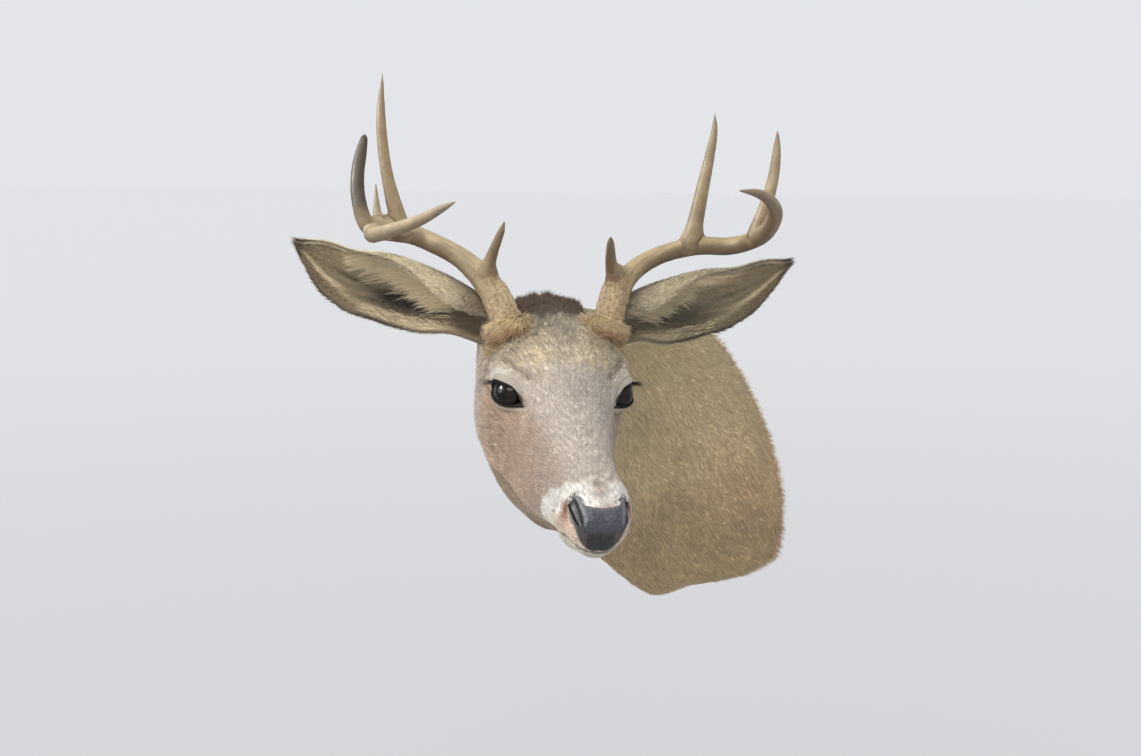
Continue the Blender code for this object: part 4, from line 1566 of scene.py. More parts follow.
@dataclass(frozen=True)
class Strands:
    """Tapered three-sided locks of hair along paths.

    paths is (N, K + 1, 3) in mm, with the tip last. widths is (N, K), the half width at each ring.
    Each ring has one point on either side and one on top, on the side that up points to.
    """

    paths: Array
    widths: Array
    up: Array
    wall_gap: float = 0.6
    patch: float = 0.003

    @property
    def rings(self) -> int:
        """Rings of three points below the tip."""
        return self.widths.shape[1]

    def vertices(self) -> Array:
        """Vertices, lock by lock: three for each ring, then the tip.

        Returns:
            The vertices, in mm.
        """
        along = unit(self.paths[:, 1:] - self.paths[:, :-1])
        side = unit(np.cross(along, self.up[:, None]))
        top = np.cross(side, along)
        w = self.widths[..., None]
        base = self.paths[:, :-1]
        rings = np.stack([base - side * w, base + side * w, base + top * w * 0.75], 2)
        flat = rings.reshape(len(self.paths), self.rings * 3, 3)
        vertices = np.concatenate([flat, self.paths[:, -1:]], 1).reshape(-1, 3)
        vertices[:, 1] = np.minimum(vertices[:, 1], -self.wall_gap)
        return vertices

    def faces(self) -> Array:
        """Faces of one lock, repeated for all with their own vertex numbers.

        Returns:
            Vertex numbers, three for each face.
        """
        one = [(0, 1, 2)]
        for ring in range(self.rings - 1):
            a = ring * 3
            for i, j in ((0, 1), (1, 2), (2, 0)):
                one += [(a + j, a + i, a + 3 + i), (a + j, a + 3 + i, a + 3 + j)]
        last, tip = (self.rings - 1) * 3, self.rings * 3
        one += [(last + j, last + i, tip) for i, j in ((0, 1), (1, 2), (2, 0))]
        each = self.rings * 3 + 1
        starts = np.arange(len(self.paths)) * each
        return (np.array(one)[None] + starts[:, None, None]).reshape(-1, 3)

    def build(self, name: str, material: Material, slot: str, roots: Array, tips: Array,
              places: Array) -> Object:
        """Makes the piece.

        Args:
            name: Name of the piece.
            material: Hair finish.
            slot: Record slot; not used.
            roots: Linear colour at each lock's root.
            tips: Linear colour at each lock's tip.
            places: Each root's place (N, 2) on the flattened skin, 0 to 1.

        Returns:
            The object, with a patch for each lock in its bake map.
        """
        share = np.append(np.repeat(np.linspace(0, 1, self.rings + 1)[:-1], 3), 1.0)
        colours = (roots[:, None] * (1 - share)[None, :, None] + tips[:, None] * share[None, :, None])
        faces = self.faces()
        across = np.append(np.tile([-0.5, 0.5, 0.0], self.rings), 0.0)
        spread = np.stack([across, share - 0.5], -1) * self.patch
        corner = np.clip(places, self.patch, 1 - self.patch)[:, None] + spread[None]
        bake_map = corner.reshape(-1, 2)[faces.ravel()]
        return new_piece(name, self.vertices(), faces, material, colours.reshape(-1, 3),
                         bake_map=bake_map)


@dataclass(frozen=True)
class Collar:
    """Roll of skin under the fur round an antler's foot, as for the left antler in head axes."""

    centre: tuple = (48.5, 61.0, 50.0)
    axis: tuple = (0.28, 0.56, 0.78)
    ring: float = 14.0
    half_width: float = 3.9
    half_height: float = 8.5
    rise: float = -12.5
    rows: int = 72
    columns: int = 32

    @property
    def square(self) -> tuple[Array, Array, Array]:
        """The axis and two directions square to it.

        Returns:
            The three directions.
        """
        axis = np.array(self.axis) / np.linalg.norm(self.axis)
        first = np.cross(axis, (0, 0, 1.0))
        first /= np.linalg.norm(first)
        return axis, first, np.cross(axis, first)

    def surface(self, turn: Array, tilt: Array, size: float = 1.0) -> tuple[Array, Array]:
        """Points and normals at an angle round the antler and an angle round the roll's own section.

        Args:
            turn: Angle round the antler.
            tilt: Angle round the section.
            size: Size of the section over the roll's.

        Returns:
            Points and normals, in head axes.
        """
        axis, first, second = self.square
        radial = np.cos(turn)[:, None] * first + np.sin(turn)[:, None] * second
        cos, sin = np.cos(tilt)[:, None], np.sin(tilt)[:, None]
        points = (np.array(self.centre) + axis * (self.rise + self.half_height * size * sin)
                  + radial * (self.ring + self.half_width * size * cos))
        return points, unit(radial * cos / self.half_width + axis * sin / self.half_height)

    def tangent(self, turn: Array) -> Array:
        """Direction round the antler."""
        _, first, second = self.square
        return -np.sin(turn)[:, None] * first + np.cos(turn)[:, None] * second

    def build(self, side: Side, finishes: Finishes) -> Object:
        """Makes the roll: an oval section swept round the antler's foot.

        Args:
            side: The deer's left or right.
            finishes: Materials of the mount.

        Returns:
            The object.
        """
        turns = np.linspace(0, 2 * math.pi, self.rows)
        tilts = np.linspace(0, 2 * math.pi, self.columns, endpoint=False)
        turn, tilt = (grid.ravel() for grid in np.meshgrid(turns, tilts, indexing="ij"))
        points, _ = self.surface(turn, tilt)
        # The roll is collar brown above and the crown's dark brown below: painted shade under the roll.
        colours = layered(plain("crown", len(points)), ("collar_brown_and_shade", 0.8 * ease(-0.7, 0.3, np.sin(tilt))))
        triangles = grid_triangles(self.rows, self.columns, wrap=True, flip=side is Side.RIGHT)
        return new_piece(f"collar_roll_{side.word}", HIDE.to_world(points * (side.value, 1, 1)), triangles,
                         finishes.hide, colours)


COLLAR = Collar()


@dataclass(frozen=True)
class CoatPatch:
    """One piece of the coat: where it grows and what its tufts are like."""

    name: str
    slot: str
    start: float
    stop: float
    count: int
    length: tuple
    width: float
    lift: float
    seed: int


@dataclass(frozen=True)
class Coat(SubAssembly):
    """Short coat of the head, neck and shoulders as lying tufts."""

    gain: float = 1.15
    neck_gain: float = 1.9
    collar_count: int = 8000
    skirt_count: int = 7000
    crest_count: int = 7000
    sowing_rows: int = 90
    sowing_columns: int = 180
    stump: tuple = (49.0, 61.0)
    skirt_centre: tuple = (49.0, 60.0)
    patches: tuple = (
        CoatPatch("coat_muzzle", "short_deer_fur", -190, -92, 26000, (2.8, 4.6), 0.25, 0.22, 101),
        CoatPatch("coat_face", "short_deer_fur", -92, 8, 35000, (3.8, 6.2), 0.32, 0.20, 102),
        CoatPatch("coat_brow", "short_deer_fur", 8, 112, 38000, (4.6, 8.0), 0.35, 0.22, 103),
        CoatPatch("coat_neck_front", "neck_fur", 112, 205, 37000, (5.0, 8.5), 0.36, 0.20, 104),
        CoatPatch("coat_neck_middle", "neck_fur", 205, 288, 37000, (5.5, 9.5), 0.38, 0.20, 105),
        CoatPatch("coat_shoulders", "neck_fur", 288, 362, 37000, (6.0, 10.0), 0.40, 0.20, 106),
        CoatPatch("coat_wall_edge", "neck_fur", 362, 430, 36000, (6.0, 10.5), 0.40, 0.21, 107),
    )

    @classmethod
    def sow(cls, patch: CoatPatch, rng: np.random.Generator) -> tuple[Array, Array]:
        """Stations and angles of roots, even over the skin's area.

        Cells of a grid are drawn with a chance in proportion to their area, and each root is put at
        random inside its cell.

        Args:
            patch: Piece of the coat.
            rng: Source of chance.

        Returns:
            Station and angle of every root.
        """
        stations = np.linspace(patch.start, patch.stop, cls.sowing_rows)
        angles = np.linspace(0, 2 * math.pi, cls.sowing_columns + 1)
        s, a = np.meshgrid(stations, angles, indexing="ij")
        points = HIDE.points(np.maximum(s.ravel(), HIDE.pole_station + 0.3), a.ravel()).reshape(*s.shape, 3)
        one, two = points[1:, :-1] - points[:-1, :-1], points[:-1, 1:] - points[:-1, :-1]
        area = np.linalg.norm(np.cross(one, two), axis=-1).ravel()
        cell = rng.choice(len(area), patch.count, p=area / area.sum())
        row, column = np.divmod(cell, cls.sowing_columns)
        station = stations[row] + rng.random(patch.count) * (stations[1] - stations[0])
        angle = angles[column] + rng.random(patch.count) * (angles[1] - angles[0])
        return np.clip(station, HIDE.pole_station + 0.3, HIDE.wall_station - 0.3), angle

    @staticmethod
    def lie(station: Array, local: Array, normal: Array, back: Array, around: Array, world: Array,
            rng: np.random.Generator) -> Array:
        """Direction in which each hair lies, in the skin's plane.

        Hair runs back along the body. It sinks downwards on the neck and cheeks, parts sideways on
        the forehead, and wavers in soft swirls.

        Args:
            station: Station of each point.
            local: Points in section or head axes.
            normal: Outward normals.
            back: Directions to the back.
            around: Directions round.
            world: Points in the row frame.
            rng: Source of chance.

        Returns:
            The directions.
        """
        down = np.array([0.0, 0.0, -1.0]) - normal * -normal[:, 2:3]
        pull = 0.18 + 0.16 * ease(90, 200, station)
        part = 0.35 * bell(local[:, 1], 20, 45) * ease(20, 36, local[:, 2]) * np.sign(local[:, 0])
        part *= ease(0, 25, np.abs(local[:, 0]))
        swirl = 0.22 * mottle(world, 26, 41) + 0.12 * mottle(world, 9, 42)
        swirl = swirl + rng.normal(0, 0.12, len(station))
        out = np.sign(np.cos(np.arctan2(local[:, 2], local[:, 0])))
        lie = back + down * pull[:, None] + around * (swirl - part * out * np.sign(local[:, 0]))[:, None]
        return unit(lie - normal * (lie * normal).sum(1, keepdims=True))

    @classmethod
    def bare(cls, station: Array, local: Array, rng: np.random.Generator) -> Array:
        """True where no tuft grows: the nose pad, the lid edges, the lip line and under the antlers.

        Args:
            station: Station of each point.
            local: Points in section or head axes.
            rng: Source of chance.

        Returns:
            Whether each root is left out.
        """
        near = EYE.nearness(EYE.to_eye(local))
        bald = (near < 1.14 + rng.normal(0, 0.04, len(station))) & (station < 60)
        bald |= NOSE.pad(local) > -0.3 + rng.normal(0, 0.35, len(station))
        hole, _ = NOSE.nostrils(local[:, 0], local[:, 2])
        bald |= (hole < 1.5) & (local[:, 1] < -168)
        bald |= (MOUTH.groove(local) > 0.3) & (station < -106)
        stump = np.hypot(np.abs(local[:, 0]) - cls.stump[0], local[:, 1] - cls.stump[1])
        return bald | ((stump < 13) & (local[:, 2] > 25) & (station < 112))

    def grow(self, patch: CoatPatch) -> Object:
        """Makes one piece of the coat.

        Args:
            patch: Where it grows and what its tufts are like.

        Returns:
            The object.
        """
        rng = np.random.default_rng(patch.seed)
        station, angle = self.sow(patch, rng)
        local = HIDE.local(station, angle)
        keep = ~self.bare(station, local, rng)
        station, angle = station[keep], angle[keep]
        skin, normal, back, around, local = HideSkin.inset(station, angle)
        outer = HIDE.points(station, angle)
        count = len(station)
        lie = self.lie(station, local, normal, back, around, outer, rng)
        length = rng.uniform(*patch.length, count) * (1 - 0.35 * ease(-150, -176, station))
        eye_near = EYE.nearness(EYE.to_eye(local))
        length *= 1 - 0.45 * bell(eye_near, 1.4, 0.5) * (station < 60)
        length *= 1 - 0.45 * bell(local[:, 2], MOUTH.line(local), 5) * ease(-104, -116, station)
        lift = patch.lift * rng.uniform(0.55, 1.35, count) + 0.06 * ease(398, 428, station)
        lift *= 1 + 0.22 * mottle(outer, 7, 43)
        tip = skin + (lie * np.cos(lift)[:, None] + normal * np.sin(lift)[:, None]) * length[:, None]
        past = np.maximum(tip[:, 1] + Strands.wall_gap, 0)
        tip[:, 1] -= past
        tip += normal * (0.6 * past)[:, None] * (1, 0, 1)
        width = patch.width * rng.uniform(0.75, 1.3, count)
        paths = np.stack([skin - normal * 0.25, tip], 1)
        neck = ease(80, 150, station)
        bright = self.gain + (self.neck_gain - self.gain) * neck
        colour = dimmed(MARKINGS.at(station, local, outer) * bright[:, None])
        tone = np.exp(rng.normal(0, 0.08, count) + MARKINGS.grizzle(outer, station))
        brow = bell(station, 15, 45)
        golden = (rng.random(count) < 0.2 + 0.1 * neck + 0.12 * brow) * (0.25 + 0.05 * neck + 0.2 * brow)
        dark = (rng.random(count) < 0.14 - 0.06 * neck + 0.1 * brow) * (0.22 + 0.14 * brow)
        white = colour.min(1) > 0.55
        golden, dark = golden * ~white, dark * ~white
        colour = colour * tone[:, None]
        tips = layered(colour * 1.08, ("gold_tip", golden), ("dark_tip", dark))
        roots = colour * (0.88 - 0.08 * neck)[:, None]
        span = (station - patch.start) / (patch.stop - patch.start)
        places = np.stack([np.mod(angle / (2 * math.pi), 1.0), span], -1)
        strands = Strands(paths, width[:, None], normal)
        return strands.build(patch.name, self.finishes.coat, patch.slot, roots, tips, places)

    def collars(self) -> Object:
        """Thick golden hair rolled round the antlers' feet.

        Locks stand on the outer half of a ring whose section is an oval, about the beam's foot, and
        sweep outwards over its edge. They are golden above and brown underneath, partly their own brown
        and partly painted shade under the roll.

        Returns:
            The object.
        """
        rng = np.random.default_rng(120)
        count = self.collar_count
        mirror = np.where(rng.random(count) < 0.5, 1, -1)[:, None] * (1, 0, 0) + np.array([0, 1, 1])
        turn, tilt = rng.uniform(0, 2 * math.pi, count), rng.uniform(-1.0, 2.3, count)
        roots, normal = COLLAR.surface(turn, tilt, 0.85)
        away = normal - np.array(COLLAR.square[0]) * (normal @ COLLAR.square[0])[:, None]
        sweep = (0.5 * unit(away) + np.array([0.5, 0.12, 0]) - 0.5 * COLLAR.square[0]
                 + 0.2 * COLLAR.tangent(turn) + rng.normal(0, 0.2, (count, 3)))
        lean = unit(sweep - normal * (sweep * normal).sum(1, keepdims=True))
        length = rng.uniform(7.0, 12.0, count) + 3.5 * ease(0.3, -0.8, tilt)
        length *= 1 + 0.3 * mottle(roots, 6, 47)
        share = np.array([0, 0.5, 1.0])
        arc = (rng.uniform(0.25, 0.7, count) + 0.15 * mottle(roots, 4, 49))[:, None] * (1 - 0.6 * share)
        path = self.arched(roots, lean, normal, arc, length[:, None] * share)
        world = HIDE.to_world((path * mirror[:, None]).reshape(-1, 3)).reshape(path.shape)
        up = (normal * mirror) @ HIDE.head_turn.T
        width = rng.uniform(0.3, 0.5, count)[:, None] * (1, 0.75)
        tone = np.exp(rng.normal(0, 0.14, count) + 0.14 * mottle(path[:, -1], 3.0, 46))[:, None]
        above = ease(-0.75, 0.45, np.sin(tilt) + rng.normal(0, 0.2, count))
        # Brown underneath is partly the hair's own brown and partly painted shade under the roll.
        colour = layered(plain("collar_brown_and_shade", count), ("collar", above)) * tone
        places = np.stack([0.5 + 0.24 * mirror[:, 0] + 0.2 * np.cos(turn), 0.5 + 0.4 * np.sin(turn)], -1)
        return Strands(world, width, up).build("antler_collars", self.finishes.coat, "short_deer_fur",
                                               colour * 0.95, dimmed(colour * 1.5), places)

    def skirts(self) -> Object:
        """Golden hair that fans out from under the collars and fades into the brow.

        Roots lie round the antlers' feet, closer together near the bone. Each lock points away from
        the bone and back, lies low, and takes on the brow's own colour with its distance.

        Returns:
            The object.
        """
        rng = np.random.default_rng(122)
        count = self.skirt_count
        mirror = np.where(rng.random(count) < 0.5, 1, -1)
        turn, away = rng.uniform(0, 2 * math.pi, count), 11 + 15 * rng.random(count) ** 1.3
        centre_x, centre_y = self.skirt_centre
        x = mirror * (centre_x + away * np.cos(turn))
        y = centre_y + 1.1 * away * np.sin(turn)
        station, angle = self.find(x, y)
        skin, normal, back, _, local = HideSkin.inset(station, angle)
        foot = np.stack([centre_x * mirror, np.full(count, centre_y), local[:, 2]], -1)
        out = (local - foot) @ HIDE.head_turn.T
        lean = unit(out) + 0.35 * back + rng.normal(0, 0.3, (count, 3))
        lean = unit(lean - normal * (lean * normal).sum(1, keepdims=True))
        lift = (rng.uniform(0.25, 0.75, count) * (1 - 0.6 * ease(15, 25, away)))[:, None]
        length = rng.uniform(7, 12, count)[:, None] * (1 + 0.3 * mottle(skin, 5, 48))[:, None]
        bend = skin + (lean * np.cos(lift) + normal * np.sin(lift)) * length * 0.5
        tip = bend + (lean * np.cos(0.3 * lift) + normal * np.sin(0.3 * lift)) * length * 0.5
        width = rng.uniform(0.28, 0.46, count)[:, None] * (1, 0.75)
        brow = MARKINGS.at(station, local, skin) * self.gain
        gold = layered(plain("collar", count), ("collar_brown_and_shade", rng.random(count) * 0.8))
        colour = blend(gold, brow, ease(13, 25, away + rng.normal(0, 2.5, count)))
        colour = dimmed(colour * np.exp(rng.normal(0, 0.14, count))[:, None])
        places = np.stack([0.5 + 0.25 * mirror + 0.2 * np.cos(turn), 0.5 + 0.4 * np.sin(turn)], -1)
        strands = Strands(np.stack([skin, bend, tip], 1), width, normal)
        return strands.build("collar_skirts", self.finishes.coat, "short_deer_fur", colour * 0.85,
                             dimmed(colour * 1.15), places)

    def crest(self) -> Object:
        """Dark crest on the crown, standing up and back between the antlers.

        Returns:
            The object.
        """
        rng = np.random.default_rng(121)
        count = self.crest_count
        x, y = rng.normal(-2, 17, count), 64 + 54 * np.sqrt(rng.random(count))
        keep = np.abs(x) < 34
        x, y = x[keep], y[keep]
        station, angle = self.find(x, y)
        skin, normal, back, around, _ = HideSkin.inset(station, angle)
        count = len(x)
        length = rng.uniform(8, 15, count) * (0.85 + 0.3 * mottle(skin, 7, 44))
        length *= 0.55 + 0.45 * ease(66, 92, y)
        rise = rng.uniform(0.4, 0.95, count) * (0.3 + 0.7 * ease(68, 94, y))
        lean = unit(back + around * rng.normal(0, 0.3, count)[:, None])
        share = np.array([0, 0.5, 1.0])
        arc = rise[:, None] * (1 - 0.35 * share)
        path = self.arched(skin, lean, normal, arc, length[:, None] * share)
        width = rng.uniform(0.28, 0.46, count)[:, None] * (1, 0.7)
        colour = TONES["crown"] * np.exp(rng.normal(0, 0.22, count))[:, None]
        colour = blend(colour, TONES["forehead_dark"], ease(96, 72, y + rng.normal(0, 7, count)) * 0.75)
        places = np.stack([np.clip((x + 40) / 80, 0, 1), np.clip((y - 70) / 55, 0, 1)], -1)
        return Strands(path, width, normal).build("crown_crest", self.finishes.coat, "short_deer_fur",
                                                  colour * 0.6, colour * 1.15, places)

    @staticmethod
    def arched(roots: Array, lean: Array, normal: Array, arc: Array, run: Array) -> Array:
        """Paths of bending locks: root + run * (lean * cos(arc) + normal * sin(arc)).

        Args:
            roots: Root of each lock.
            lean: Direction in which it lies.
            normal: Direction out of the skin.
            arc: Angle (N, K) over the skin at each point of the path.
            run: Length (N, K) up to each point.

        Returns:
            The paths (N, K, 3).
        """
        reach = lean[:, None] * np.cos(arc)[..., None] + normal[:, None] * np.sin(arc)[..., None]
        return roots[:, None] + reach * run[..., None]

    @staticmethod
    def find(x: Array, y: Array) -> tuple[Array, Array]:
        """Station and angle on the top of the head under points (x, y) in head axes.

        The angle whose point comes nearest in x is taken from a fan of angles over the top.

        Args:
            x: Places across.
            y: Places back.

        Returns:
            Station and angle of each.
        """
        angles = np.linspace(math.radians(8), math.radians(172), 120)
        stations = np.linspace(20, 128, 55)
        s, a = np.meshgrid(stations, angles, indexing="ij")
        wide = HIDE.local(s.ravel(), a.ravel())[:, 0].reshape(s.shape)
        row = np.clip(np.searchsorted(stations, y), 0, len(stations) - 1)
        column = np.abs(wide[row] - x[:, None]).argmin(1)
        return np.clip(y, 20, 128), angles[column]

    def build(self) -> None:
        """Grows every piece of the coat."""
        for patch in self.patches:
            self.grow(patch)
        for side in Side:
            COLLAR.build(side, self.finishes)
        self.collars()
        self.skirts()
        self.crest()


# ---- Ears ----


@dataclass(frozen=True)
class Ear(SubAssembly):
    """One cupped ear, its velvet and its long inner hair.

    Each row of the table gives, along the back of the cup, the place in head axes, the half height
    across, the depth, and how far the rims curl round to the front (degrees up and down).
    """

    side: Side
    rows: int = 96
    columns: int = 72
    half_thickness: float = 0.9
    gain: float = 1.45
    table: tuple = (
        (0.00, 52, 98, 29, 17, 17, 130, 150),
        (0.12, 80, 110, 40, 23, 19, 150, 128),
        (0.34, 118, 126, 43.5, 34.5, 21, 127, 92),
        (0.55, 152, 137, 44, 38, 18, 108, 82),
        (0.76, 190, 146, 45, 33, 12, 92, 80),
        (0.91, 221, 150, 59, 22, 6, 84, 76),
        (1.00, 242, 150, 73, 3, 2, 60, 60),
    )
    along: tuple = (0.93, 0.28, 0.2)
    hair_line: tuple = ((0.18, -0.25), (0.31, -0.05), (0.49, 0.14), (0.69, 0.36), (0.82, 0.5))
    velvet_count: int = 26000
    rounding: int = 24

    @property
    def carriage(self) -> tuple[tuple, tuple, float]:
        """Opening direction, shift of the tip, and sag half way along.

        Returns:
            The three.
        """
        if self.side is Side.LEFT:
            return (0.05, -0.99, -0.08), (7, 0, -4), -8.0
        return (0.22, -0.96, -0.12), (-7, 0, 3), 0.0

    def middle(self, t: Array, s: Array) -> Array:
        """Middle surface of the ear in the row frame.

        The line along the back is offset by height * sin(turn) up and depth * (1 - cos(turn)) to the
        front, where turn is the curl times s, from -1 at the lower rim to 1 at the upper.

        Args:
            t: Place along the ear, 0 to 1.
            s: Place across it, -1 to 1.

        Returns:
            The points.
        """
        x, y, z, height, depth, curl_up, curl_down = table_curve(np.array(self.table, float), t).T
        turn = np.radians(np.where(s > 0, curl_up, curl_down)) * s
        opening, tip_shift, sag = self.carriage
        forward = np.array(opening) / np.linalg.norm(opening)
        up = np.cross(forward, self.along)
        up /= np.linalg.norm(up)
        out = t[:, None]
        spine = np.column_stack([x, y, z]) + out ** 2 * tip_shift + 4 * out * (1 - out) * (0, 0, sag)
        wave = 1 + 0.05 * np.sin(9 * t + 2) * s
        head = spine + (height * wave * np.sin(turn))[:, None] * up
        head = head + (depth * (1 - np.cos(turn)))[:, None] * forward
        return HIDE.to_world(head * (self.side.value, 1, 1))

    def frame_at(self, t: Array, s: Array) -> tuple[Array, Array, Array, Array]:
        """Point, normal out of the ear's back, direction to the tip and direction to the upper rim.

        Args:
            t: Place along the ear, 0 to 1.
            s: Place across it, -1 to 1.

        Returns:
            The four arrays, each (N, 3).
        """
        step = 0.004
        low, high = np.clip(t - step, 0, 1), np.clip(t + step, 0, 1)
        along = unit(self.middle(high, s) - self.middle(low, s))
        across = unit(self.middle(t, s + step) - self.middle(t, s - step))
        normal = unit(np.cross(along, across)) * -self.side.value
        return self.middle(t, s), normal, along, across

    def colour(self, t: Array, s: Array, inside: Array, world: Array) -> Array:
        """Linear colours of the ear's skin and velvet.

        Args:
            t: Place along the ear, 0 at the root to 1 at the tip.
            s: Place across it, -1 at the lower rim to 1 at the upper.
            inside: Whether the point is on the inner face.
            world: Points in the row frame.

        Returns:
            Brown velvet behind, pale bands and dark hollows inside, and a dark rim.
        """
        right = self.side is Side.RIGHT
        soft, fine = 0.5 * mottle(world, 12, 51), mottle(world, 2.4, 52)
        streak = mottle(np.stack([30 * s, 4 * t, 0 * t], -1), 2.2, 53)
        hair = np.exp(-0.1 + 0.4 * mottle(np.stack([44 * s, 7 * t, 0 * t], -1), 2.0, 54))[:, None]
        deep = TONES["ear_hollow"] if right else TONES["ear_olive"] * 0.72
        line = np.interp(t, (0.55, 0.73, 0.85), (-0.22, -0.04, 0.03))
        rib = np.interp(t, (0.6, 0.7, 0.85, 0.95), (-0.6, -0.52, -0.35, -0.25))
        pale = bell(s, self.pale_band(t) + 0.04, 0.12) * ease(0.1, 0.2, t) * ease(0.85, 0.65, t)
        back = layered(
            plain("ear_back", len(t)),
            ("ear_back_dark", np.clip(ease(0.45, 0.05, t) * 0.7 + 0.25 * soft, 0, 1)),
            ("cream", 0.35 * ease(0.35, 0.95, np.abs(s)) * ease(0.1, 0.5, t)),
        )
        inner = layered(
            plain("ear_inner", len(t)),
            ("ear_olive", np.clip(0.35 + 0.4 * streak, 0, 1)),
            (deep, 0.85 * bell(t, 0.13, 0.12) * bell(s, 0.15, 0.5)),
            (deep, 0.75 * bell(s, line, 0.06) * bell(t, 0.7, 0.13)),
            ("ear_brown", 0.7 * bell(t, 0.42, 0.13) * bell(s, -0.55, 0.14)),
            ("ear_hair", 0.55 * bell(s, rib, 0.09) * ease(0.55, 0.65, t)),
            (TONES["ear_hair"] * hair, (1.0 if right else 0.6) * pale),
            ("ear_hair", 0.7 * bell(t, 0.26, 0.16) * bell(s, -0.78, 0.13)),
        )
        strip = layered(plain("ear_strip", len(t)),
                        ("ear_back_dark", np.clip(ease(0.3, 0.05, t) * 0.8 + 0.3 * np.abs(fine), 0, 1)))
        colour = layered(back, (inner, inside.astype(float)),
                         (strip, ease(0.56, 0.66, s + 0.03 * fine) * (1 - 0.3 * ease(0.7, 0.95, t))))
        rim = bell(np.abs(s), 1.0, 0.045) * ease(0.16, 0.5, t)
        return layered(
            dimmed(colour * self.gain) * (1 - 0.38 * ease(-0.3, -0.5, s) * inside)[:, None],
            (deep, np.clip(1.7 * bell(t, 0.36, 0.24) * bell(s, -0.28, 0.2) * inside, 0, 1)),
            ("ear_rim", np.clip(rim * np.where(s < 0, 0.95, 0.6), 0, 1)),
            ("ear_rim", np.clip(ease(0.93, 0.99, t + 0.02 * soft), 0, 1) * 0.85),
        )

    def pale_band(self, t: Array) -> Array:
        """Where across the ear its band of long pale hair runs."""
        return np.interp(t, *np.array(self.hair_line).T)

    def skin(self) -> Object:
        """Ear's skin: a closed shell with a round rim, its root inside the head.

        Returns:
            The object.
        """
        half = np.linspace(-1, 1, self.columns)
        s = np.concatenate([half, half[::-1]])
        offset = np.concatenate([np.ones(self.columns), -np.ones(self.columns)])
        shape = np.sqrt(np.maximum(1 - np.abs(s) ** self.rounding, 0.05))
        rows = np.linspace(0, 0.995, self.rows)
        t, s_all = np.repeat(rows, len(s)), np.tile(s, self.rows)
        out = np.tile(offset * shape, self.rows)
        points, normal, _, _ = self.frame_at(t, s_all)
        taper = self.half_thickness * (1 + 1.8 * ease(0.3, 0.0, t)) * (1 - 0.4 * ease(0.8, 1, t))
        ripple = 0.5 * np.cos((s_all + 0.12) * 11 + 1.6 * t)
        ripple *= ease(0.95, 0.5, t) * ease(1.0, 0.8, np.abs(s_all))
        shell = points + normal * (out * taper - ripple * (out < 0))[:, None]
        tip = self.middle(np.array([1.0]), np.array([0.0]))
        ring = len(s)
        root = shell[:ring].mean(0, keepdims=True)
        colours = self.colour(t, s_all, out < 0, points) * 0.9
        colours = np.concatenate([colours, colours[-1:], colours[:1]])
        flip = self.side is Side.RIGHT
        triangles = np.concatenate([
            grid_triangles(self.rows, ring, wrap=True, flip=flip),
            fan_triangles(np.arange(-ring, 0) + self.rows * ring, self.rows * ring, flip=not flip),
            fan_triangles(np.arange(ring), self.rows * ring + 1, flip=flip),
        ])
        name = f"ear_{self.side.word}"
        piece = new_piece(f"{name}_skin", np.concatenate([shell, tip, root]), triangles, self.finishes.hide,
                          colours)
        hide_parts(name)
        return piece

    def velvet(self) -> Object:
        """Short hair on both faces, lying to the tip and fanning towards the rims.

        Returns:
            The object.
        """
        rng = np.random.default_rng(130 + self.side.value)
        count = self.velvet_count
        t = rng.beta(1.15, 1.25, count) * 0.985 + 0.01
        s = rng.uniform(-1, 1, count)
        inside = rng.random(count) < 0.45
        point, normal, along, across = self.frame_at(t, s)
        facing = np.where(inside, -1, 1)[:, None] * normal
        fan = (0.25 * s + rng.normal(0, 0.16, count))[:, None]
        lie = unit(along + across * fan)
        length = np.where(inside, rng.uniform(3.0, 6.5, count), rng.uniform(4.0, 7.0, count))
        length = length + 5.0 * rng.random(count) * ease(0.9, 1.0, t)
        lift = rng.uniform(0.12, 0.38, count)
        root = point + facing * 0.7
        tip = root + (lie * np.cos(lift)[:, None] + facing * np.sin(lift)[:, None]) * length[:, None]
        colour = self.colour(t, s, inside, point) * np.exp(rng.normal(0.08, 0.12, count))[:, None]
        ticked = (rng.random(count) < 0.22) & (~inside | (s > 0.58))
        colour = layered(colour, ("ear_tick", ticked * 0.5))
        places = np.stack([np.where(inside, 0.75 + s * 0.23, 0.25 + s * 0.23), t], -1)
        strands = Strands(np.stack([root, tip], 1), rng.uniform(0.26, 0.44, count)[:, None], facing)
        return strands.build(f"ear_{self.side.word}_velvet", self.finishes.coat, "ear_fur", colour * 0.85,
                             colour * 1.12, places)

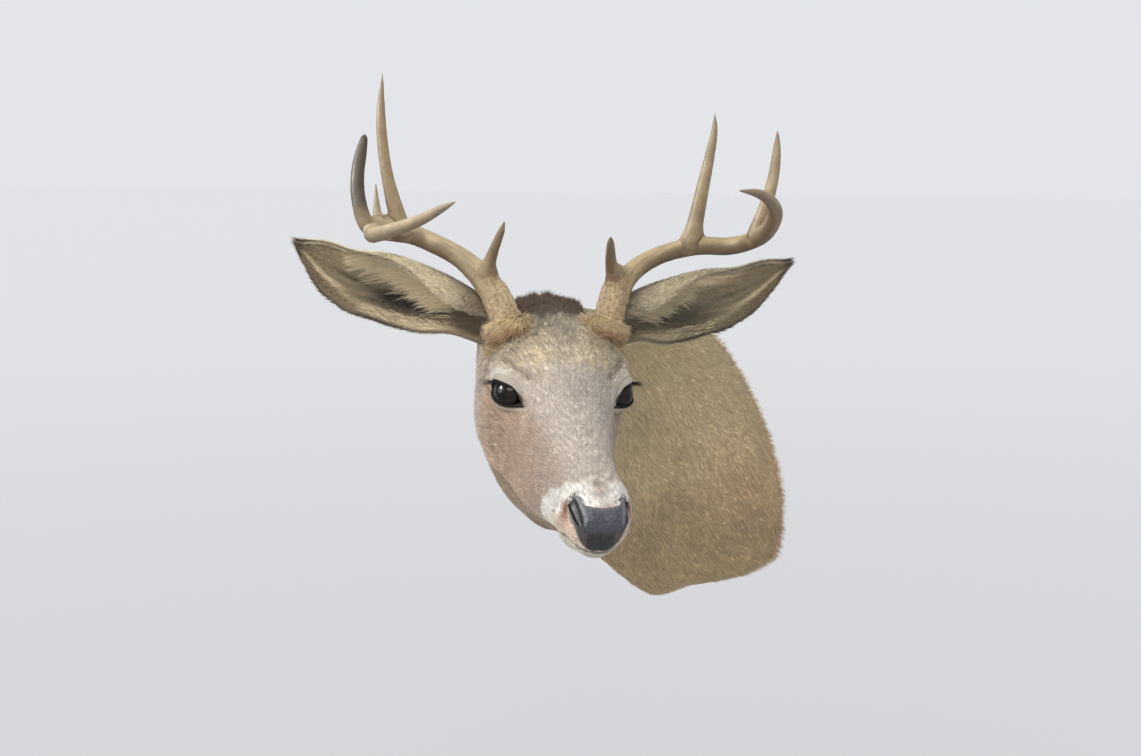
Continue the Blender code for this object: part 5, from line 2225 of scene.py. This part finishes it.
    def long_hair(self) -> Object:
        """Long pale hair that grows under the upper rim and sweeps over the hollow to the tip.

        Returns:
            The object.
        """
        rng = np.random.default_rng(140 + self.side.value)
        count, reach = (3600, 0.72) if self.side is Side.RIGHT else (1500, 0.45)
        low = rng.random(count) < 0.15
        t = np.where(low, rng.uniform(0.1, 0.62, count), rng.uniform(0.12, reach, count))
        s = np.where(low, rng.uniform(-0.92, -0.6, count), self.pale_band(t) + rng.normal(0.19, 0.12, count))
        point, normal, along, across = self.frame_at(t, s)
        inward = -normal
        length = np.where(low, rng.uniform(9, 17, count), rng.uniform(16, 34, count)) * (1 - 0.35 * t)
        fall = across * np.where(low, 1, -1)[:, None]
        start = unit(along * 0.95 + fall * rng.uniform(0.0, 0.3, count)[:, None]
                     + inward * rng.uniform(0.12, 0.42, count)[:, None])
        bend = unit(along + fall * rng.uniform(0.0, 0.55, count)[:, None]
                    + np.array([0, 0, -1]) * rng.uniform(0.0, 0.5, count)[:, None])
        share = np.array([0, 0.33, 0.66, 1.0])[None, :, None]
        sweep = start[:, None] * share * (1 - 0.5 * share) + bend[:, None] * 0.5 * share ** 2
        path = point[:, None] + inward[:, None] * 0.6 + sweep * length[:, None, None]
        width = rng.uniform(0.28, 0.46, count)[:, None] * (1, 0.8, 0.5)
        colour = layered(plain("ear_hair", count), ("ear_olive", 0.2 * low + 0.45 * rng.random(count) ** 2))
        colour = dimmed(colour * np.exp(rng.normal(0.2, 0.24, count))[:, None])
        places = np.stack([0.5 + s * 0.48, t], -1)
        return Strands(path, width, inward).build(f"ear_{self.side.word}_long_hair", self.finishes.coat,
                                                  "ear_fur", colour * 0.85, colour, places)

    def build(self) -> None:
        """Makes the ear's skin and hair."""
        self.skin()
        self.velvet()
        self.long_hair()


# ---- Antlers ----


@dataclass(frozen=True)
class AntlerForm:
    """Beam and tines of one antler in head axes: points along the middle, with the radius there.

    Webs are short thick rods that fill the crotches between the beam and its tines.
    """

    side: Side
    beam: tuple
    tines: dict[str, tuple]
    webs: tuple = ()


RIGHT_ANTLER = AntlerForm(
    Side.RIGHT,
    beam=((-42, 50, 28, 12), (-47, 57, 43, 14), (-53, 66, 56, 13.6), (-60, 76, 67, 13), (-75, 91, 80, 10.8),
          (-93, 106, 89, 9.4), (-126, 123, 98, 9.2), (-149, 122, 103, 9.6), (-168, 104, 111, 8.4),
          (-172, 76, 120, 7.2), (-162, 38, 142, 6.4), (-144, 0, 169, 5.2), (-131, -30, 193, 3.6),
          (-122, -51, 210, 1.2)),
    tines={
        "brow": ((-62, 78, 70, 11.5), (-67, 83, 79, 10), (-66, 79, 90, 6.8), (-64, 71, 110, 4.9),
                 (-61, 60, 134, 3.4), (-60, 55, 146, 1.1)),
        "second": ((-138, 122, 99, 9.0), (-145, 127, 114, 8.2), (-155, 142, 146, 5.9), (-160, 158, 173, 5.2),
                   (-162, 173, 199, 4.2), (-161, 190, 230, 0.9)),
        "third": ((-165, 106, 108, 9.4), (-178, 104, 121, 7.4), (-184, 116, 141, 6.6), (-184, 129, 157, 6.2),
                  (-181, 141, 171, 5.4), (-178, 149, 183, 3.4)),
        "fourth": ((-158, 114, 105, 8.6), (-164, 122, 116, 4.8), (-166, 142, 142, 0.9)),
    },
    webs=(
        ((-74, 90, 80, 8.5), (-69, 84, 86, 7.0), (-66, 77, 97, 4.8)),
        ((-55, 70, 60, 10.0), (-61, 76, 74, 8.5), (-64, 76, 92, 5.2)),
        ((-142, 124, 110, 6.5), (-152, 124, 113, 5.5), (-162, 118, 115, 5.5), (-174, 106, 118, 6.0)),
    ),
)
LEFT_ANTLER = AntlerForm(
    Side.LEFT,
    beam=((41, 48, 28, 12), (46, 56, 44, 14), (51, 66, 58, 13.6), (57, 78, 70, 13), (69, 92, 77, 10.5),
          (87, 106, 85, 9.0), (112, 118, 91, 8.6), (144, 124, 96, 8.8), (172, 121, 98, 8.6),
          (188, 104, 112, 8.2), (192, 78, 134, 7.9), (183, 40, 168, 7.0), (165, 10, 194, 5.6),
          (144, -12, 210, 4.0), (121, -31, 220, 1.2)),
    tines={
        "brow": ((59, 80, 70, 11.5), (56, 82, 79, 9.6), (50, 77, 90, 6.6), (45, 70, 106, 5.2),
                 (40, 59, 126, 3.6), (38, 54, 135, 1.1)),
        "second": ((132, 122, 94, 11.0), (138, 129, 113, 8.2), (143, 139, 143, 6.6), (149, 152, 172, 5.2),
                   (154, 165, 197, 3.4), (154, 172, 212, 0.9)),
        "third": ((188, 98, 118, 8.0), (196, 104, 148, 6.4), (204, 119, 172, 5.4), (209, 137, 192, 4.0),
                  (211, 150, 207, 0.9)),
    },
    webs=(
        ((69, 91, 78, 8.5), (60, 84, 85, 7.0), (50, 75, 96, 4.8)),
        ((51, 68, 58, 10.0), (52, 75, 72, 8.5), (49, 75, 91, 5.2)),
        ((124, 120, 94, 7.5), (133, 123, 104, 6.5), (139, 130, 120, 6.0)),
        ((148, 124, 97, 7.5), (142, 127, 106, 6.5), (140, 131, 122, 6.0)),
    ),
)


@dataclass(frozen=True)
class Antler(SubAssembly):
    """One antler as a single bone: its rods melted together, then ridged and stained."""

    form: AntlerForm
    voxel: float = 1.05
    sides: int = 28
    smoothing: int = 14
    batch: int = 4000
    reference: tuple = (0.31, 0.2, 0.93)
    left_tint: tuple = (0.95, 0.92, 0.88)

    @staticmethod
    def trace(rows: tuple, step: float = 1.5) -> Array:
        """Points and radii (mm) along the smooth curve through the rows, about a step apart.

        Args:
            rows: Points with their radii.
            step: Distance between samples.

        Returns:
            Samples (N, 4).
        """
        table = np.column_stack([np.arange(len(rows)), np.array(rows, float)])
        fine = table_curve(table, np.linspace(0, len(rows) - 1, 600))
        run = np.concatenate([[0], np.cumsum(np.linalg.norm(np.diff(fine[:, :3], axis=0), axis=1))])
        steps = np.linspace(0, run[-1], int(run[-1] / step) + 2)
        return np.column_stack([np.interp(steps, run, fine[:, k]) for k in range(4)])

    def tube(self, trace: Array) -> tuple[Array, Array]:
        """Closed round tube along a trace: each ring is square to the path, and the ends are poles.

        Args:
            trace: Samples of the path, with their radii.

        Returns:
            Points and triangles.
        """
        centre, radius = trace[:, :3], trace[:, 3]
        along = unit(np.gradient(centre, axis=0))
        side = unit(np.cross(along, self.reference))
        other = np.cross(along, side)
        turn = np.linspace(0, 2 * math.pi, self.sides, endpoint=False)
        ring = (side[:, None] * np.cos(turn)[None, :, None] + other[:, None] * np.sin(turn)[None, :, None])
        points = (centre[:, None] + ring * radius[:, None, None]).reshape(-1, 3)
        points = np.concatenate([points, centre[:1] - along[:1] * radius[0] * 0.3,
                                 centre[-1:] + along[-1:] * radius[-1] * 1.2])
        count = len(centre)
        triangles = np.concatenate([
            grid_triangles(count, self.sides, wrap=True),
            fan_triangles(np.arange(self.sides), count * self.sides),
            fan_triangles(np.arange(-self.sides, 0) + count * self.sides, count * self.sides + 1, flip=True),
        ])
        return points, triangles

    def melt(self, tubes: list[tuple[Array, Array]]) -> tuple[Array, Array]:
        """One closed surface of all tubes, by voxels, with its forks smoothed into fillets.

        Args:
            tubes: Points and triangles of each tube.

        Returns:
            Points in mm, and triangles.
        """
        offsets = np.cumsum([0] + [len(points) for points, _ in tubes])
        points = np.concatenate([points for points, _ in tubes])
        triangles = np.concatenate([faces + start for (_, faces), start in zip(tubes, offsets)])
        mesh = bpy.data.meshes.new("antler_rods")
        mesh.from_pydata((points * MM).tolist(), [], triangles.tolist())
        rods = bpy.data.objects.new("antler_rods", mesh)
        bpy.context.scene.collection.objects.link(rods)
        remesh = rods.modifiers.new("voxels", "REMESH")
        remesh.mode = "VOXEL"
        remesh.voxel_size = self.voxel * MM
        soften = rods.modifiers.new("fillets", "SMOOTH")
        soften.factor = 0.5
        soften.iterations = self.smoothing
        melted = bpy.data.meshes.new_from_object(rods.evaluated_get(bpy.context.evaluated_depsgraph_get()))
        melted.calc_loop_triangles()
        flat = np.empty(len(melted.vertices) * 3, np.float32)
        melted.vertices.foreach_get("co", flat)
        corners = np.empty(len(melted.loop_triangles) * 3, np.int32)
        melted.loop_triangles.foreach_get("vertices", corners)
        bpy.data.objects.remove(rods)
        bpy.data.meshes.remove(melted)
        return flat.reshape(-1, 3).astype(float) / MM, corners.reshape(-1, 3)

    def dress(self, points: Array, traces: list[Array]) -> tuple[Array, Array]:
        """Ridges, grooves and stain of the bone, and painted light and shade on it.

        Each point belongs to the nearest rod sample, less its radius. Ridges are sine waves round the
        rod whose phase drifts along it, deep on the lower beam and fading towards the tips. Pearls
        are small knobs near the burr. Colour is darker in the grooves and at the tips; painted light
        makes the upper side paler as a highlight and the underside darker as shade.

        Args:
            points: Surface of the melted rods, in head axes.
            traces: Samples of the beam and of each tine, with their radii.

        Returns:
            Points moved along their radial direction, and linear colours.
        """
        samples = np.concatenate(traces)
        along = np.concatenate([unit(np.gradient(trace[:, :3], axis=0)) for trace in traces])
        share = np.concatenate([np.linspace(0, 1, len(trace)) for trace in traces])
        rods = np.concatenate([np.full(len(trace), k) for k, trace in enumerate(traces)])
        nearest, nearest_beam = np.empty((2, len(points)), int)
        apart = np.empty(len(points))
        for start in range(0, len(points), self.batch):
            part = slice(start, start + self.batch)
            away = np.linalg.norm(points[part, None] - samples[None, :, :3], axis=-1) - samples[None, :, 3]
            to_beam = away[:, rods == 0]
            nearest[part], nearest_beam[part] = away.argmin(1), to_beam.argmin(1)
            apart[part] = to_beam.min(1) - away.min(1)
        beam_share, beam_t = ease(5, 0.5, apart), share[nearest_beam]
        centre, axis, rod, t = samples[nearest, :3], along[nearest], rods[nearest], share[nearest]
        out = points - centre
        out = unit(out - axis * (out * axis).sum(1, keepdims=True))
        side = unit(np.cross(axis, self.reference))
        phi = np.arctan2((out * np.cross(axis, side)).sum(1), (out * side).sum(1))
        drift = 1.6 * mottle(points, 34, 61 + self.form.side.value)
        rough = beam_share * ease(0.55, 0.08, beam_t) + (1 - beam_share) * 0.3 * ease(0.5, 0.0, t)
        ridges = (0.4 * np.cos(4 * phi + drift) + 0.35 * np.cos(9 * phi - 1.4 * drift + 1)
                  + 0.35 * np.cos(17 * phi + 1.8 * drift))
        pearls = np.maximum(mottle(points, 3.0, 65), 0) * np.where(rod == 0, ease(0.24, 0.05, t), 0)
        depth = (0.24 + 0.3 * np.where(rod == 0, ease(0.3, 0.1, t), 0)) * (0.15 + 0.85 * rough)
        height = depth * ridges + 0.6 * pearls + 0.06 * mottle(points, 2.4, 66)
        height = height * np.clip(samples[nearest, 3] / 7, 0.12, 1.3)
        foot = beam_share * ease(0.24, 0.04, beam_t)
        up = (out @ HIDE.head_turn.T)[:, 2] + 0.25 * mottle(points, 13, 67)
        groove = ease(0.2, -0.7, ridges) * (0.4 + 0.6 * rough) + 0.35 * ease(0.2, 1.0, mottle(points, 6, 68))
        specks = ease(0.1, 0.8, mottle(points, 2.1, 69)) * (0.3 + 0.7 * foot) * (0.25 + 0.75 * rough)
        dark_tip = (rod == 3) & (self.form.side is Side.RIGHT)
        colour = layered(
            plain("bone", len(points)),
            # Paler upper side: painted highlight. Darker underside: painted shade. The mid-beam's brown
            # stain is kept to its lower side, so it is stain and painted shade in one.
            ("bone_top_highlight", ease(0.0, 0.8, up)),
            ("bone_underside_shade", 0.9 * ease(-0.05, -0.75, up)),
            ("bone_stain_and_shade", 0.75 * beam_share * bell(beam_t, 0.4, 0.17) * ease(0.55, -0.2, up)),
            ("bone_groove", np.clip(0.42 * groove, 0, 1)),
            ("bone_tip", 0.6 * np.where(rod == 0, ease(0.8, 0.98, t), ease(0.35, 0.95, t))),
            ("bone_dark", 0.85 * dark_tip * ease(0.15, 0.4, t)),
            ("bone_foot", 0.5 * foot),
            ("bone_speck", 0.6 * specks),
        )
        if self.form.side is Side.LEFT:
            colour = colour * self.left_tint
        else:
            colour = layered(colour, ("bone_honey", 0.35 * (rod == 2) * ease(0.0, 0.25, t)))
            colour = colour * (1.06 - 0.4 * dark_tip * ease(0.1, 0.4, t))[:, None]
        return points + out * height[:, None], colour

    def build(self) -> Object:
        """Makes the antler.

        Returns:
            The object.
        """
        traces = [self.trace(self.form.beam)] + [self.trace(rows) for rows in self.form.tines.values()]
        webs = [self.trace(rows) for rows in self.form.webs]
        points, triangles = self.melt([self.tube(trace) for trace in traces + webs])
        points, colours = self.dress(points, traces)
        word = self.form.side.word
        piece = new_piece(f"antler_{word}", HIDE.to_world(points), triangles, self.finishes.antler,
                          colours)
        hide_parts(*(f"antler_{word}_beam_{part}" for part in ("base", "middle", "tip")),
                    *(f"antler_{tine}_tine_{word}" for tine in self.form.tines))
        return piece


# ---- Board, stage and camera ----


@dataclass(frozen=True)
class WallBoard(SubAssembly):
    """The plywood board and hanger plate that stay as their packed solids."""

    def dress(self) -> None:
        """Gives the two solids their finishes."""
        for name, material in (("backboard", self.finishes.plywood), ("hanger_plate", self.finishes.steel)):
            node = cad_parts[name]
            for slot in node.material_slots:
                slot.material = material
            LOG.info("%s: %s", name, material.name)


@dataclass(frozen=True)
class Studio:
    """Pale floor, soft light and the camera."""

    azimuth: float = math.radians(25.0)
    elevation: float = math.radians(7.6)
    camera_place: tuple = (0.674, -1.736, 0.325)
    lens: float = 53.63716
    floor_drop: float = 0.75
    floor_size: float = 90.0
    near: float = 1.0
    far: float = 9.0
    sun_from: tuple = (0.20, -0.90, 0.66)
    sun_strength: float = 1.7
    side_from: tuple = (-0.85, -0.6, 0.42)
    side_strength: float = 1.5
    sun_softness: float = math.radians(38.0)
    glint_from: tuple = (-0.738, -0.483, 0.471)
    glint_distance: float = 1.25
    glint_watts: float = 16.0
    glint_size: float = 0.24

    def floor(self) -> None:
        """Plain pale floor well below the mount, painted paler with distance as a stand-in for its brighter
        glancing reflection towards the horizon.
        """
        low = CAD_BOX[0][2] - self.floor_drop
        half = self.floor_size / 2
        corners = [(-half, -half, low), (half, -half, low), (half, half, low), (-half, half, low)]
        mesh = bpy.data.meshes.new("floor")
        mesh.from_pydata(corners, [], [(0, 1, 2, 3)])
        material, tree, shader = new_material("matt_white_floor", Roughness=0.9)
        place = add_node(tree, "ShaderNodeTexCoord")
        away = add_node(tree, "ShaderNodeVectorMath", {0: place.outputs["Object"]}, operation="LENGTH")
        share = add_node(tree, "ShaderNodeMapRange", {"Value": away.outputs["Value"], "From Min": self.near,
                                                      "From Max": self.far})
        paint = add_node(tree, "ShaderNodeMix", {"Factor": share, 6: (*TONES["floor_near"], 1),
                                                 7: (*TONES["floor_far"], 1)}, data_type="RGBA")
        tree.links.new(paint.outputs[2], shader.inputs["Base Color"])
        mesh.materials.append(material)
        floor = bpy.data.objects.new("floor", mesh)
        bpy.context.scene.collection.objects.link(floor)

    def sun(self, name: str, source: tuple, strength: float) -> None:
        """Soft far light that comes from a direction.

        Args:
            name: Name of the lamp.
            source: Direction that the light comes from.
            strength: Its strength.
        """
        lamp = bpy.data.lights.new(name, "SUN")
        lamp.energy, lamp.angle, lamp.color = strength, self.sun_softness, tuple(TONES["sunlight"])
        lit = bpy.data.objects.new(name, lamp)
        lit.rotation_euler = Vector(source).to_track_quat("Z", "Y").to_euler()
        bpy.context.scene.collection.objects.link(lit)

    def glint(self) -> None:
        """Lamp seen only as a reflection: a point of light on the glass eye."""
        lamp = bpy.data.lights.new("glint_lamp", "AREA")
        lamp.energy, lamp.size = self.glint_watts, self.glint_size
        lit = bpy.data.objects.new("glint_lamp", lamp)
        lit.visible_diffuse = False
        lit.location = Vector(HIDE.eye_point) * MM + Vector(self.glint_from) * self.glint_distance
        lit.rotation_euler = Vector(self.glint_from).to_track_quat("Z", "Y").to_euler()
        bpy.context.scene.collection.objects.link(lit)

    def world(self) -> None:
        """Even pale surroundings."""
        world = bpy.data.worlds.new("pale_room")
        world.use_nodes = True
        background = world.node_tree.nodes["Background"]
        background.inputs["Color"].default_value = (*TONES["room"], 1)
        background.inputs["Strength"].default_value = 1.0
        bpy.context.scene.world = world

    def camera(self) -> None:
        """Camera level across, a little above and to the deer's left of straight ahead."""
        data = bpy.data.cameras.new("camera")
        data.lens = self.lens
        cos_a, sin_a = math.cos(self.azimuth), math.sin(self.azimuth)
        cos_e, sin_e = math.cos(self.elevation), math.sin(self.elevation)
        ahead = Vector((-sin_a * cos_e, cos_a * cos_e, -sin_e))
        right = Vector((cos_a, sin_a, 0.0))
        above = right.cross(ahead)
        turn = Matrix((right, above, -ahead)).transposed().to_4x4()
        camera = bpy.data.objects.new("camera", data)
        camera.matrix_world = Matrix.Translation(self.camera_place) @ turn
        bpy.context.scene.collection.objects.link(camera)
        bpy.context.scene.camera = camera

    def build(self) -> None:
        """Sets the stage."""
        bpy.context.scene.view_settings.view_transform = "Standard"
        self.floor()
        self.world()
        self.sun("front_sun", self.sun_from, self.sun_strength)
        self.sun("side_sun", self.side_from, self.side_strength)
        self.glint()
        self.camera()


def main() -> None:
    """Builds the mount in order, from the skin outwards."""
    logging.basicConfig(level=logging.INFO, format="%(name)s %(message)s", stream=sys.stdout)
    finishes = Finishes.mix()
    HideSkin(finishes).build()
    NosePad(finishes).build()
    rng = np.random.default_rng(7)
    field = Eye(finishes, Side.LEFT).field()
    for side in Side:
        eye = Eye(finishes, side)
        eye.ball()
        eye.lids(field)
        eye.lashes(rng)
        Ear(finishes, side).build()
    for form in (LEFT_ANTLER, RIGHT_ANTLER):
        Antler(finishes, form).build()
    Coat(finishes).build()
    WallBoard(finishes).dress()
    Studio().build()


if __name__ == "__main__":
    main()
